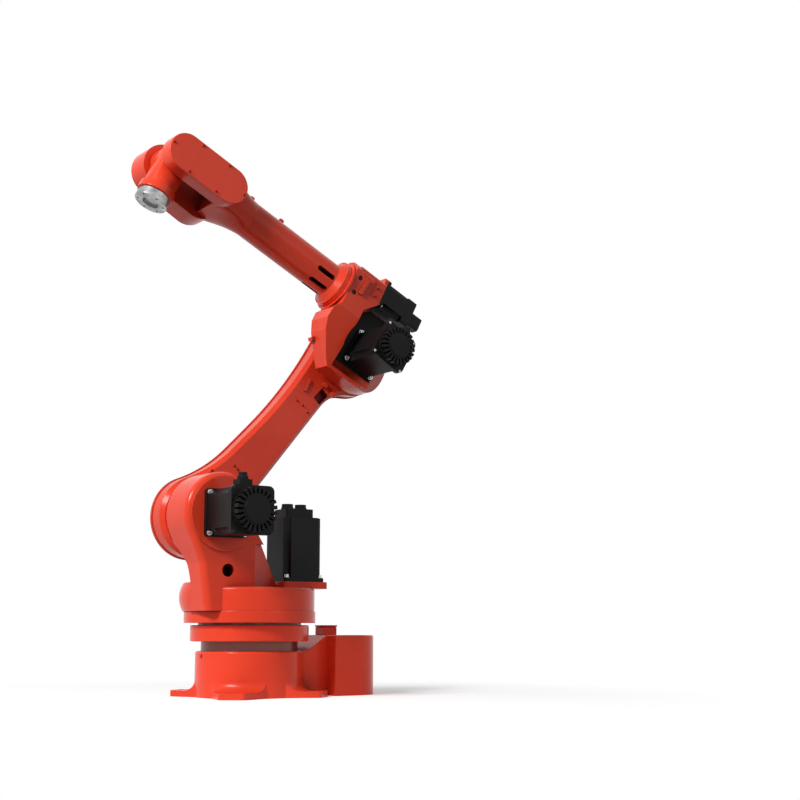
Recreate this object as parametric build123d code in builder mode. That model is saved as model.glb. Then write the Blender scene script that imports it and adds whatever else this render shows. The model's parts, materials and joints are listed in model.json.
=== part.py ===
from build123d import *
from math import cos, radians, sin, sqrt
import os

os.makedirs("parts", exist_ok=True)

# Joint layout of the arm in its rest pose, millimetres and degrees
shoulder_offset = 150.0
shoulder_height = 515.0
upper_arm_length = 760.0
upper_arm_lean_angle = 45.5
elbow_offset = 145.0
forearm_rise_angle = 26.7
wrist_reach = 833.0
wrist_bend_angle = 90.0
flange_reach = 152.0
quarter_turn_angle = 90.0

# Fits shared by all pieces
running_gap = 0.3
cut_overrun = 400.0

# Base casting, its feet and the ring under the turntable
drum_radius = 156.0
drum_height = 130.0
drum_edge_radius = 6.0
neck_radius = 140.0
neck_height = 27.5
foot_hole_length = 272.0
foot_hole_width = 304.0
foot_hole_diameter = 18.0
foot_reach = 228.0
foot_tip_width = 75.0
foot_root_width = 170.0
foot_root_reach = 120.0
foot_thickness = 18.0
foot_corner_radius = 12.0
foot_flare_radius = 30.0
base_ring_radius = 172.0
base_ring_height = 46.5
base_ring_edge_radius = 4.0
bearing_radius = 150.0
bearing_height = 6.0

# Cable box behind the base
box_front_reach = 218.0
box_rear_reach = 404.0
box_width = 250.0
box_height = 175.0
box_corner_radius = 108.0
box_rear_flat_width = 20.0
box_edge_radius = 6.0
web_width = 156.0
web_reach = 150.0
cap_width = 46.0
cap_height = 25.0
cap_setback = 47.0
cap_edge_radius = 4.0

# Turntable and column
turntable_radius = 191.0
turntable_thickness = 33.0
turntable_edge_radius = 2.0
column_drum_radius = 188.0
column_drum_height = 67.0
column_drum_edge_radius = 8.0
boss_radius = 120.0
boss_edge_radius = 18.0
boss_near_depth = 110.0
boss_far_depth = 14.0
front_join_angle = 30.0
rear_join_angle = 26.0
wall_front_waist_length = 70.0
wall_front_foot_length = 50.0
wall_rear_foot_length = 205.0
wall_rear_heel_length = 212.0
wall_waist_drop_share = 0.515
wall_heel_drop_share = 0.754
rear_bevel_reach = 50.0
rear_bevel_depth = 70.0
rear_bevel_length = 130.0
rear_bevel_drop = 83.0
scoop_radius = 145.0
scoop_depth = 115.0
scoop_rise = 87.0
chin_foot_radius = 195.0
chin_bulge_radius = 206.0
chin_top_radius = 194.0
chin_inner_radius = 150.0
chin_height = 82.0
chin_start_angle = -60.0
chin_sweep_angle = 80.0
wall_recess_diameter = 37.0
wall_recess_depth = 45.0
wall_recess_setback = 14.0
wall_recess_drop_share = 0.585
motor_seat_radius = 107.0
motor_seat_height = 4.0
shoulder_ring_radius = 102.0

# Servo motors: square flange, notched body and a round vaned fan cover
motor_flange_thickness = 12.0
motor_corner_radius = 10.0
motor_notch_radius = 17.0
large_motor_frame_width = 136.0
large_motor_body_width = 128.0
shoulder_motor_length = 137.0
large_fan_radius = 63.0
large_fan_hub_radius = 38.0
fan_base_thickness = 16.0
fan_depth = 26.0
fan_hub_rise = 3.0
fan_slot_count = 24
fan_slot_width = 6.0
fan_slot_depth = 20.0
fan_slot_inset = 5.0
plug_setback = 42.0
plug_width = 44.0
plug_depth = 40.0
plug_height = 24.0
plug_knob_radius = 13.0
plug_knob_height = 20.0
plug_corner_radius = 6.0

# Turntable motor, standing behind the column
turn_motor_setback = 140.0
turn_motor_offset = 10.0
turn_motor_length = 190.0
turn_plate_length = 154.0
turn_plate_width = 150.0
turn_plate_thickness = 20.0
turn_plate_corner_radius = 12.0
turn_cap_width = 92.0
turn_cap_height = 26.0
turn_cap_corner_radius = 16.0
turn_plug_radius = 17.0
turn_plug_height = 16.0

# Upper arm with its back plate, its end covers and the stop by the elbow
arm_face_depth = 48.0
arm_body_thickness = 57.0
arm_plate_thickness = 8.0
arm_plate_lip = 3.0
arm_bevel = 12.0
arm_shoulder_radius = 120.0
arm_elbow_radius = 124.0
arm_elbow_offset = 5.0
arm_rear_low_width = 92.0
arm_rear_high_width = 17.0
arm_front_width = 70.0
arm_shoulder_flare_radius = 450.0
arm_shoulder_heel_radius = 120.0
arm_elbow_front_flare_radius = 1400.0
arm_elbow_rear_flare_radius = 130.0
arm_straight_length = 60.0
arm_cover_radius = 88.0
arm_cover_thickness = 8.0
stop_pocket_setback = 182.0
stop_pocket_offset = 12.0
stop_pocket_length = 46.0
stop_pocket_width = 32.0
stop_pocket_depth = 22.0
stop_pocket_corner_radius = 5.0
stop_lug_setback = 149.0
stop_lug_spread_width = 38.0
stop_lug_radius = 9.0
stop_lug_height = 12.0
stop_rib_setback = 197.0
stop_rib_offset = 46.0
stop_rib_length = 46.0
stop_rib_width = 8.0
stop_rib_height = 5.0
stop_rib_angle = -17.6

# Elbow casting, measured along and across the forearm from the elbow axis
cup_radius = 118.0
cup_near_depth = 36.0
cup_far_depth = 42.0
cup_wall_thickness = 12.0
elbow_seat_depth = 8.0
elbow_ring_radius = 98.0
front_wall_top_reach = 178.0
front_wall_neck_height = 70.0
front_wall_nose_reach = 196.0
front_wall_nose_top_height = 42.0
front_wall_nose_height = 10.0
front_wall_knee_reach = 180.0
front_wall_knee_drop = 26.0
front_wall_low_reach = 114.0
front_wall_low_drop = 118.0
front_wall_heel_reach = 10.0
front_wall_heel_drop = 118.0
front_wall_far_depth = 30.0
cavity_front_reach = 100.0
cavity_shoulder_height = 92.0
cavity_notch_height = 143.0
cavity_top_height = 148.0
cavity_rear_drop = 20.0
back_wall_top_reach = 38.0
back_wall_low_reach = 100.0
back_wall_low_height = 60.0
near_face_depth = 78.0
near_face_bend_height = 60.0
near_face_foot_drop = 95.0
rim_cut_reach = 20.0
rim_cut_end_reach = 122.0
rim_cut_depth = 35.0
wall_stub_reach = 168.0
wall_stub_drop = 40.0
wall_stub_length = 30.0
wall_stub_width = 12.0
wall_stub_angle = -45.0
wall_stub_near_depth = 10.0
gear_block_rear_reach = 58.0
gear_block_front_reach = 160.0
gear_block_near_depth = 74.0
gear_block_height = 160.0
gear_block_edge_radius = 18.0
gear_ring_rear_reach = 104.0
gear_ring_step_reach = 178.0
gear_ring_front_reach = 186.0
gear_ring_radius = 96.0
gear_lip_radius = 86.0
housing_rib_reach = 133.0
housing_rib_rise = 14.0
housing_rib_length = 62.0
housing_rib_width = 14.0
housing_rib_height = 7.0
housing_rib_angle = 97.0
housing_recess_reach = 156.0
housing_recess_rise = 6.0
housing_recess_spread_width = 54.0
housing_recess_radius = 8.0
housing_recess_depth = 6.0
elbow_motor_frame_width = 124.0
elbow_motor_body_width = 116.0
elbow_motor_length = 155.0
elbow_motor_turn_angle = 4.5
elbow_fan_radius = 58.0
elbow_fan_hub_radius = 35.0
elbow_plug_setback = 26.0
roll_motor_lift = 60.0
roll_motor_frame_width = 100.0
roll_motor_body_width = 94.0
roll_plate_thickness = 12.0
roll_motor_length = 96.0
roll_cap_length = 32.0
roll_cap_width = 92.0
roll_plug_width = 34.0
roll_plug_height = 46.0
roll_plug_length = 46.0
roll_plug_offset = 18.0
roll_plug_drop = 8.0

# Forearm tube and its fork, whose far arm is the broader one
tube_radius = 56.0
tube_bore_radius = 42.0
tube_flange_radius = 78.0
tube_flange_thickness = 17.0
tube_flange_shoulder = 5.0
tube_flare_length = 18.0
tube_bore_setback = 270.0
window_length = 68.0
window_width = 15.0
window_reach = 258.0
window_angles = (-13.0, -58.0, -103.0)
fork_loft_start_setback = 285.0
fork_loft_end_setback = 175.0
fork_crotch_setback = 150.0
fork_base_width = 200.0
fork_base_offset = 14.0
fork_base_height = 114.0
fork_base_corner_radius = 40.0
fork_inner_depth = 52.0
near_arm_radius = 57.0
near_arm_length = 161.0
near_arm_lead = 5.0
near_arm_depth = 97.0
far_arm_radius = 69.0
far_arm_root_radius = 68.0
far_arm_length = 140.0
far_arm_root_drop = 8.0
far_arm_depth = 130.0
fork_cover_thickness = 8.0
fork_cover_edge_radius = 3.0
tab_reach_shares = (0.537, 0.678)
tab_length = 16.0
tab_width = 12.0
tab_height = 14.0
tab_corner_radius = 3.0

# Wrist and tool flange
hub_radius = 50.0
hub_width = 92.0
hub_bearing_radius = 38.0
neck_block_reach = 4.0
neck_block_width = 88.0
neck_block_depth = 94.0
neck_block_corner_radius = 14.0
neck_end_reach = 100.0
neck_end_radius = 48.0
wrist_ring_radius = 55.0
wrist_ring_reach = 126.0
wrist_ring_edge_radius = 3.0
tool_flange_radius = 50.0
tool_flange_edge_radius = 1.5
tool_pilot_radius = 25.0
tool_pilot_depth = 8.0
tool_bolt_circle_diameter = 80.0
tool_bolt_count = 6
tool_bolt_radius = 3.4
tool_bolt_depth = 14.0


def direction(angle):
    """Unit vector in the arm's plane, measured up from straight ahead."""
    return Vector(cos(radians(angle)), 0, sin(radians(angle)))


def side_plane(pivot, side, angle):
    """Upright plane at a distance to the left, turned about a cross axis; it faces right."""
    return Plane(origin=(pivot.X, side, pivot.Z), x_dir=direction(angle), z_dir=(0, -1, 0))


def axis_plane(point, axis):
    """Plane across an axis in the arm's plane, with its own X to the left."""
    return Plane(origin=point, x_dir=(0, 1, 0), z_dir=axis)


# Pivot points and axes worked out from the joint layout
shoulder = Vector(shoulder_offset, 0, shoulder_height)
arm_angle = quarter_turn_angle + upper_arm_lean_angle
elbow = shoulder + direction(arm_angle) * upper_arm_length
forearm_axis = direction(forearm_rise_angle)
forearm_lift = direction(forearm_rise_angle + quarter_turn_angle)
forearm_line = elbow + forearm_lift * elbow_offset
wrist = forearm_line + forearm_axis * wrist_reach
tool_axis = direction(forearm_rise_angle - wrist_bend_angle)

# Levels of the turning axis stack
ring_bottom = drum_height + neck_height
ring_top = ring_bottom + base_ring_height
turntable_bottom = ring_top + bearing_height
turntable_top = turntable_bottom + turntable_thickness
column_drum_top = turntable_top + column_drum_height
wall_height = shoulder_height - turntable_top


def save(part, label):
    """Label a finished piece and write it."""
    part.label = label
    export_step(part, f"parts/{label}.step")


# Base casting: turned drum and neck, four flared feet and the web to the cable box
with BuildPart() as base_casting:
    with BuildSketch(Plane.XZ) as drum_profile:
        Polygon(
            (0, 0),
            (drum_radius, 0),
            (drum_radius, drum_height),
            (neck_radius, drum_height),
            (neck_radius, ring_bottom),
            (0, ring_bottom),
            align=None,
        )
        fillet(drum_profile.vertices().sort_by_distance((drum_radius, drum_height))[0], drum_edge_radius)
    revolve(axis=Axis.Z)
    for front, left in ((1, 1), (1, -1), (-1, 1), (-1, -1)):
        outward = Vector(front * foot_hole_length, left * foot_hole_width, 0)
        with BuildSketch(Plane(origin=(0, 0, 0), x_dir=outward, z_dir=(0, 0, 1))):
            Polygon(
                (foot_root_reach, foot_root_width / 2),
                (foot_root_reach, -foot_root_width / 2),
                (foot_reach, -foot_tip_width / 2),
                (foot_reach, foot_tip_width / 2),
                align=None,
            )
        extrude(amount=foot_thickness + foot_flare_radius)
    flare_start = (drum_radius, foot_thickness + foot_flare_radius)
    flare_end = (drum_radius + foot_flare_radius, foot_thickness)
    with BuildSketch(Plane.XZ):
        with BuildLine():
            CenterArc(
                (flare_end[0], flare_start[1]), foot_flare_radius, 2 * quarter_turn_angle, quarter_turn_angle
            )
            Polyline(
                flare_end,
                (foot_reach + foot_tip_width, foot_thickness),
                (foot_reach + foot_tip_width, flare_start[1]),
                flare_start,
            )
        make_face()
    revolve(axis=Axis.Z, mode=Mode.SUBTRACT)
    foot_corners = base_casting.edges().filter_by(Axis.Z).filter_by(
        lambda edge: Vector(edge.center().X, edge.center().Y, 0).length > foot_reach
    )
    fillet(foot_corners, foot_corner_radius)
    with BuildSketch(Plane.XZ.offset(-web_width / 2)):
        Polygon(
            (-web_reach, 0),
            (-box_front_reach, 0),
            (-box_front_reach, box_height),
            (-web_reach, drum_height),
            (0, drum_height),
            (0, 0),
            align=None,
        )
    extrude(amount=web_width)
    with Locations((0, 0, foot_thickness)):
        with GridLocations(foot_hole_length, foot_hole_width, 2, 2):
            Hole(foot_hole_diameter / 2)
save(base_casting.part, "base_casting")

with BuildPart() as base_ring:
    with BuildSketch(Plane.XY.offset(ring_bottom)):
        Circle(base_ring_radius)
    extrude(amount=base_ring_height)
    fillet(base_ring.edges().filter_by(GeomType.CIRCLE), base_ring_edge_radius)
save(base_ring.part, "base_ring")

with BuildPart() as turntable_bearing:
    with BuildSketch(Plane.XY.offset(ring_top)):
        Circle(bearing_radius)
    extrude(amount=bearing_height - running_gap)
save(turntable_bearing.part, "turntable_bearing")

# Cable box with broad rear corners, and the small raised cap on it
rear_corner_radius = min(box_corner_radius, (box_width - box_rear_flat_width) / 2)
with BuildPart() as cable_box:
    with BuildSketch() as box_plan:
        with Locations((-(box_front_reach + box_rear_reach) / 2, 0)):
            Rectangle(box_rear_reach - box_front_reach, box_width)
        fillet(box_plan.vertices().group_by(Axis.X)[0], rear_corner_radius)
    extrude(amount=box_height)
    fillet(cable_box.faces().sort_by(Axis.Z)[-1].edges(), box_edge_radius)
save(cable_box.part, "cable_box")

with BuildPart() as cable_box_cap:
    with BuildSketch(Plane.XY.offset(box_height)):
        with Locations((-(box_front_reach + cap_setback), 0)):
            Rectangle(cap_width, cap_width)
    extrude(amount=cap_height)
    fillet(cable_box_cap.faces().sort_by(Axis.Z)[-1].edges(), cap_edge_radius)
save(cable_box_cap.part, "cable_box_cap")

# Column casting: shoulder boss and wall, scooped on the far side, over the turned drum and its chin
boss_front_join = direction(-front_join_angle) * boss_radius
boss_rear_join = direction(2 * quarter_turn_angle + rear_join_angle) * boss_radius
with BuildPart() as column_casting:
    with BuildSketch(side_plane(shoulder, boss_near_depth, 0)):
        Circle(boss_radius)
        Polygon(
            (boss_front_join.X, boss_front_join.Z),
            (wall_front_waist_length, -wall_waist_drop_share * wall_height),
            (wall_front_foot_length, -wall_height),
            (-wall_rear_foot_length, -wall_height),
            (-wall_rear_heel_length, -wall_heel_drop_share * wall_height),
            (boss_rear_join.X, boss_rear_join.Z),
            align=None,
        )
    extrude(amount=boss_near_depth + boss_far_depth)
    near_rim = column_casting.edges().group_by(Axis.Y)[-1].filter_by(
        lambda edge: edge.center().X > shoulder_offset
    )
    fillet(near_rim, boss_edge_radius)
    with BuildSketch(Plane.YZ):
        with Locations((-scoop_depth, turntable_top + scoop_rise)):
            Circle(scoop_radius)
    extrude(amount=cut_overrun, both=True, mode=Mode.SUBTRACT)
    with BuildSketch(Plane.XY.offset(turntable_top)):
        Polygon(
            (rear_bevel_reach, boss_near_depth),
            (rear_bevel_reach - rear_bevel_length, boss_near_depth - rear_bevel_depth),
            (rear_bevel_reach - rear_bevel_length, boss_near_depth),
            align=None,
        )
    extrude(amount=wall_height - rear_bevel_drop, mode=Mode.SUBTRACT)
    with BuildSketch(side_plane(shoulder, boss_near_depth, 0)):
        with Locations((-wall_recess_setback, -wall_recess_drop_share * wall_height)):
            Circle(wall_recess_diameter / 2)
    extrude(amount=wall_recess_depth, mode=Mode.SUBTRACT)
    chin_side = Vector(cos(radians(chin_start_angle)), sin(radians(chin_start_angle)), 0)
    with BuildSketch(Plane(origin=(0, 0, 0), x_dir=chin_side, z_dir=chin_side.cross(Vector(0, 0, 1)))):
        with BuildLine():
            ThreePointArc(
                (chin_foot_radius, turntable_top),
                (chin_bulge_radius, turntable_top + chin_height / 2),
                (chin_top_radius, turntable_top + chin_height),
            )
            Polyline(
                (chin_top_radius, turntable_top + chin_height),
                (chin_inner_radius, turntable_top + chin_height),
                (chin_inner_radius, turntable_top),
                (chin_foot_radius, turntable_top),
            )
        make_face()
    revolve(axis=Axis.Z, revolution_arc=chin_sweep_angle)
    with BuildSketch(Plane.XZ) as turntable_profile:
        Polygon(
            (0, turntable_bottom),
            (turntable_radius, turntable_bottom),
            (turntable_radius, turntable_top),
            (column_drum_radius, turntable_top),
            (column_drum_radius, column_drum_top),
            (0, column_drum_top),
            align=None,
        )
        fillet(
            turntable_profile.vertices().filter_by(lambda corner: corner.X > column_drum_radius),
            turntable_edge_radius,
        )
        fillet(
            turntable_profile.vertices().sort_by_distance((column_drum_radius, column_drum_top))[0],
            column_drum_edge_radius,
        )
    revolve(axis=Axis.Z)
    with BuildSketch(side_plane(shoulder, boss_near_depth + motor_seat_height, 0)):
        Circle(motor_seat_radius)
    extrude(amount=motor_seat_height)
save(column_casting.part, "column_casting")

with BuildPart() as shoulder_reducer:
    with BuildSketch(side_plane(shoulder, -boss_far_depth, 0)):
        Circle(shoulder_ring_radius)
    extrude(amount=arm_face_depth - boss_far_depth - running_gap)
save(shoulder_reducer.part, "shoulder_reducer")


def servo_motor(seat, frame, body, length):
    """Square flange and a body whose four corners are hollowed for the bolts."""
    with BuildPart() as motor:
        with BuildSketch(seat):
            RectangleRounded(frame, frame, motor_corner_radius)
        extrude(amount=motor_flange_thickness)
        with BuildSketch(seat.offset(motor_flange_thickness)):
            Rectangle(body, body)
            with GridLocations(body, body, 2, 2):
                Circle(motor_notch_radius, mode=Mode.SUBTRACT)
        extrude(amount=length - motor_flange_thickness)
    return motor.part


def fan_cover(seat, frame, radius, hub_radius):
    """Motor end cover: square base, round guard cut into radial vanes, and a plain hub disc."""
    rim = seat.offset(fan_base_thickness + fan_depth)
    with BuildPart() as cover:
        with BuildSketch(seat):
            RectangleRounded(frame, frame, motor_notch_radius)
        extrude(amount=fan_base_thickness)
        with BuildSketch(seat.offset(fan_base_thickness)):
            Circle(radius)
        extrude(amount=fan_depth)
        with BuildSketch(rim):
            with PolarLocations(hub_radius + fan_slot_inset + cut_overrun / 2, fan_slot_count):
                Rectangle(cut_overrun, fan_slot_width)
        extrude(amount=-fan_slot_depth, mode=Mode.SUBTRACT)
        with BuildSketch(rim):
            Circle(hub_radius)
        extrude(amount=fan_hub_rise)
    return cover.part


def plug_socket(seat):
    """Cable plug on a motor: a square foot and a round cap over it."""
    with BuildPart() as plug:
        with BuildSketch(seat):
            RectangleRounded(plug_width, plug_depth, plug_corner_radius)
        extrude(amount=plug_height)
        with BuildSketch(seat.offset(plug_height)):
            Circle(plug_knob_radius)
        extrude(amount=plug_knob_height)
    return plug.part


# Turntable motor on its plate at the back of the column
with BuildPart() as turn_motor_plate:
    with BuildSketch(Plane.XY.offset(column_drum_top)):
        with Locations((-turn_motor_setback, turn_motor_offset)):
            RectangleRounded(turn_plate_length, turn_plate_width, turn_plate_corner_radius)
    extrude(amount=turn_plate_thickness)
save(turn_motor_plate.part, "turn_motor_plate")

turn_seat = Plane(
    origin=(-turn_motor_setback, turn_motor_offset, column_drum_top + turn_plate_thickness)
)
save(
    servo_motor(turn_seat, large_motor_frame_width, large_motor_body_width, turn_motor_length),
    "turn_motor",
)

with BuildPart() as turn_motor_cap:
    with BuildSketch(turn_seat.offset(turn_motor_length)):
        RectangleRounded(turn_cap_width, turn_cap_width, turn_cap_corner_radius)
    extrude(amount=turn_cap_height)
    with BuildSketch(turn_seat.offset(turn_motor_length + turn_cap_height)):
        with GridLocations(turn_cap_width / 2, 0, 2, 1):
            Circle(turn_plug_radius)
    extrude(amount=turn_plug_height)
save(turn_motor_cap.part, "turn_motor_cap")

# Shoulder motor, its fan cover and its plug
shoulder_seat_side = boss_near_depth + motor_seat_height
shoulder_seat = Plane(
    origin=(shoulder.X, shoulder_seat_side, shoulder.Z), x_dir=(-1, 0, 0), z_dir=(0, 1, 0)
)
save(
    servo_motor(shoulder_seat, large_motor_frame_width, large_motor_body_width, shoulder_motor_length),
    "shoulder_motor",
)
save(
    fan_cover(
        shoulder_seat.offset(shoulder_motor_length),
        large_motor_frame_width,
        large_fan_radius,
        large_fan_hub_radius,
    ),
    "shoulder_fan_cover",
)
shoulder_plug_seat = Plane(
    origin=(
        shoulder.X,
        shoulder_seat_side + shoulder_motor_length - plug_setback,
        shoulder.Z + large_motor_body_width / 2,
    ),
    x_dir=(1, 0, 0),
    z_dir=(0, 0, 1),
)
save(plug_socket(shoulder_plug_seat), "shoulder_motor_plug")

# Upper arm: two round ends joined by a band with flared corners, over a slightly broader back plate
arm_back_depth = arm_face_depth + arm_body_thickness + arm_plate_thickness
arm_shoulder_flare_length = sqrt(
    (arm_shoulder_radius - arm_front_width)
    * (arm_shoulder_radius + arm_front_width + 2 * arm_shoulder_flare_radius)
)
arm_elbow_front_width = arm_front_width - arm_elbow_offset
arm_flare_room = upper_arm_length - arm_shoulder_flare_length - arm_straight_length
arm_flare_limit = (arm_flare_room**2 - arm_elbow_radius**2 + arm_elbow_front_width**2) / (
    2 * (arm_elbow_radius - arm_elbow_front_width)
)
front_flare_radius = min(arm_elbow_front_flare_radius, arm_flare_limit)
with BuildPart() as upper_arm:
    with BuildSketch(side_plane(shoulder, -arm_face_depth, arm_angle)) as arm_outline:
        Circle(arm_shoulder_radius)
        with Locations((upper_arm_length, -arm_elbow_offset)):
            Circle(arm_elbow_radius)
        Polygon(
            (0, arm_rear_low_width),
            (upper_arm_length, arm_rear_high_width),
            (upper_arm_length, -arm_front_width),
            (0, -arm_front_width),
            align=None,
        )
        arm_corners = (
            ((arm_shoulder_radius, -arm_front_width), arm_shoulder_flare_radius),
            ((arm_shoulder_radius, arm_rear_low_width), arm_shoulder_heel_radius),
            ((upper_arm_length - arm_elbow_radius, arm_rear_high_width), arm_elbow_rear_flare_radius),
            ((upper_arm_length - arm_elbow_radius, -arm_front_width), front_flare_radius),
        )
        for corner_place, flare_radius in arm_corners:
            fillet(arm_outline.vertices().sort_by_distance(corner_place)[0], flare_radius)
    extrude(amount=arm_body_thickness)
    chamfer(upper_arm.faces().sort_by(Axis.Y)[-1].edges(), arm_bevel)
    with BuildSketch(side_plane(shoulder, -(arm_face_depth + arm_body_thickness), arm_angle)):
        add(arm_outline.sketch_local)
        offset(amount=arm_plate_lip)
    extrude(amount=arm_plate_thickness)
    stop_plane = side_plane(shoulder, -arm_face_depth, arm_angle)
    with BuildSketch(stop_plane):
        with Locations((upper_arm_length - stop_pocket_setback, stop_pocket_offset)):
            RectangleRounded(stop_pocket_length, stop_pocket_width, stop_pocket_corner_radius)
    extrude(amount=stop_pocket_depth, mode=Mode.SUBTRACT)
    with BuildSketch(stop_plane):
        with Locations((upper_arm_length - stop_lug_setback, stop_pocket_offset)):
            with GridLocations(0, stop_lug_spread_width, 1, 2):
                Circle(stop_lug_radius)
    extrude(amount=-stop_lug_height)
    with BuildSketch(stop_plane):
        with Locations((upper_arm_length - stop_rib_setback, -stop_rib_offset)):
            SlotOverall(stop_rib_length, stop_rib_width, rotation=stop_rib_angle)
    extrude(amount=-stop_rib_height)
save(upper_arm.part, "upper_arm")

for cover_pivot, cover_name in ((shoulder, "shoulder_cover"), (elbow, "elbow_cover")):
    with BuildPart() as arm_cover:
        with BuildSketch(side_plane(cover_pivot, -arm_back_depth, arm_angle)):
            Circle(arm_cover_radius)
        extrude(amount=arm_cover_thickness)
    save(arm_cover.part, cover_name)

with BuildPart() as elbow_reducer:
    with BuildSketch(side_plane(elbow, -(cup_far_depth + running_gap), forearm_rise_angle)):
        Circle(elbow_ring_radius)
    extrude(amount=arm_face_depth - cup_far_depth - running_gap)
save(elbow_reducer.part, "elbow_reducer")

# Elbow casting: a cup about the elbow axis, open at the back round its motor, under the gear housing
with BuildPart() as elbow_casting:
    with BuildSketch(side_plane(elbow, near_face_depth, forearm_rise_angle)):
        Polygon(
            (front_wall_top_reach, elbow_offset),
            (front_wall_top_reach, front_wall_neck_height),
            (front_wall_nose_reach, front_wall_nose_top_height),
            (front_wall_nose_reach, front_wall_nose_height),
            (front_wall_knee_reach, -front_wall_knee_drop),
            (front_wall_low_reach, -front_wall_low_drop),
            (front_wall_heel_reach, -front_wall_heel_drop),
            (0, 0),
            (gear_block_rear_reach, elbow_offset),
            align=None,
        )
    extrude(amount=near_face_depth + front_wall_far_depth)
    with BuildSketch(axis_plane(elbow, forearm_axis)):
        Polygon(
            (near_face_depth, near_face_bend_height),
            (cup_near_depth, -near_face_foot_drop),
            (cup_near_depth, -cut_overrun),
            (cut_overrun, -cut_overrun),
            (cut_overrun, near_face_bend_height),
            align=None,
        )
    extrude(amount=cut_overrun, both=True, mode=Mode.SUBTRACT)
    with BuildSketch(side_plane(elbow, cup_near_depth, forearm_rise_angle)):
        Circle(cup_radius)
    extrude(amount=cup_near_depth + cup_far_depth)
    with BuildSketch(axis_plane(forearm_line + forearm_axis * gear_block_rear_reach, forearm_axis)):
        with Locations(((gear_block_near_depth - cup_far_depth) / 2, 0)):
            RectangleRounded(
                gear_block_near_depth + cup_far_depth, gear_block_height, gear_block_edge_radius
            )
    extrude(amount=gear_block_front_reach - gear_block_rear_reach)
    with BuildSketch(side_plane(elbow, elbow_seat_depth, forearm_rise_angle)):
        Circle(cup_radius - cup_wall_thickness)
        Polygon(
            (cavity_front_reach, cavity_shoulder_height),
            (gear_block_rear_reach, cavity_notch_height),
            (gear_block_rear_reach, cavity_top_height),
            (-cut_overrun, cavity_top_height),
            (-cut_overrun, -cavity_rear_drop),
            (0, -cavity_rear_drop),
            (0, cup_wall_thickness - cup_radius),
            (cavity_front_reach, cup_wall_thickness - cup_radius),
            align=None,
        )
    extrude(amount=-cut_overrun, mode=Mode.SUBTRACT)
    with BuildSketch(side_plane(elbow, elbow_seat_depth, forearm_rise_angle)):
        Polygon(
            (gear_block_rear_reach, elbow_offset),
            (-back_wall_top_reach, elbow_offset),
            (-back_wall_low_reach, back_wall_low_height),
            (0, 0),
            align=None,
        )
    extrude(amount=elbow_seat_depth + front_wall_far_depth)
    with BuildSketch(Plane(origin=elbow, x_dir=forearm_axis, z_dir=forearm_lift)):
        Polygon(
            (-rim_cut_reach, cup_near_depth),
            (-rim_cut_end_reach, -rim_cut_depth),
            (-cut_overrun, -rim_cut_depth),
            (-cut_overrun, cut_overrun),
            (-rim_cut_reach, cut_overrun),
            align=None,
        )
    extrude(amount=cut_overrun, both=True, mode=Mode.SUBTRACT)
    with BuildSketch(side_plane(elbow, -wall_stub_near_depth, forearm_rise_angle)):
        with Locations((wall_stub_reach, -wall_stub_drop)):
            Rectangle(wall_stub_length, wall_stub_width, rotation=wall_stub_angle)
    extrude(amount=front_wall_far_depth - wall_stub_near_depth)
    with BuildSketch(axis_plane(forearm_line + forearm_axis * gear_ring_rear_reach, forearm_axis)):
        Circle(gear_ring_radius)
        with Locations(((near_face_depth - cup_far_depth) / 2, 0)):
            Rectangle(near_face_depth + cup_far_depth, 2 * gear_ring_radius, mode=Mode.INTERSECT)
    extrude(amount=gear_ring_step_reach - gear_ring_rear_reach)
    with BuildSketch(axis_plane(forearm_line + forearm_axis * gear_ring_step_reach, forearm_axis)):
        Circle(gear_lip_radius)
    extrude(amount=gear_ring_front_reach - gear_ring_step_reach)
    housing_face = side_plane(elbow, near_face_depth, forearm_rise_angle)
    with BuildSketch(housing_face):
        with Locations((housing_rib_reach, elbow_offset + housing_rib_rise)):
            SlotOverall(housing_rib_length, housing_rib_width, rotation=housing_rib_angle)
    extrude(amount=-housing_rib_height)
    with BuildSketch(housing_face):
        with Locations((housing_recess_reach, elbow_offset + housing_recess_rise)):
            with GridLocations(0, housing_recess_spread_width, 1, 2):
                Circle(housing_recess_radius)
    extrude(amount=housing_recess_depth, mode=Mode.SUBTRACT)
save(elbow_casting.part, "elbow_casting")

# Elbow motor in the cup, its fan cover and its plug
elbow_motor_axis = direction(forearm_rise_angle + elbow_motor_turn_angle)
elbow_motor_lift = direction(forearm_rise_angle + elbow_motor_turn_angle + quarter_turn_angle)
elbow_motor_seat = Plane(
    origin=(elbow.X, elbow_seat_depth, elbow.Z), x_dir=elbow_motor_axis * -1, z_dir=(0, 1, 0)
)
save(
    servo_motor(elbow_motor_seat, elbow_motor_frame_width, elbow_motor_body_width, elbow_motor_length),
    "elbow_motor",
)
save(
    fan_cover(
        elbow_motor_seat.offset(elbow_motor_length),
        elbow_motor_frame_width,
        elbow_fan_radius,
        elbow_fan_hub_radius,
    ),
    "elbow_fan_cover",
)
elbow_plug_point = elbow + elbow_motor_lift * (elbow_motor_body_width / 2)
elbow_plug_point = elbow_plug_point - elbow_motor_axis * elbow_plug_setback
elbow_plug_seat = Plane(
    origin=(
        elbow_plug_point.X,
        elbow_seat_depth + elbow_motor_length - plug_setback / 2,
        elbow_plug_point.Z,
    ),
    x_dir=elbow_motor_axis,
    z_dir=elbow_motor_lift,
)
save(plug_socket(elbow_plug_seat), "elbow_motor_plug")

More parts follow.
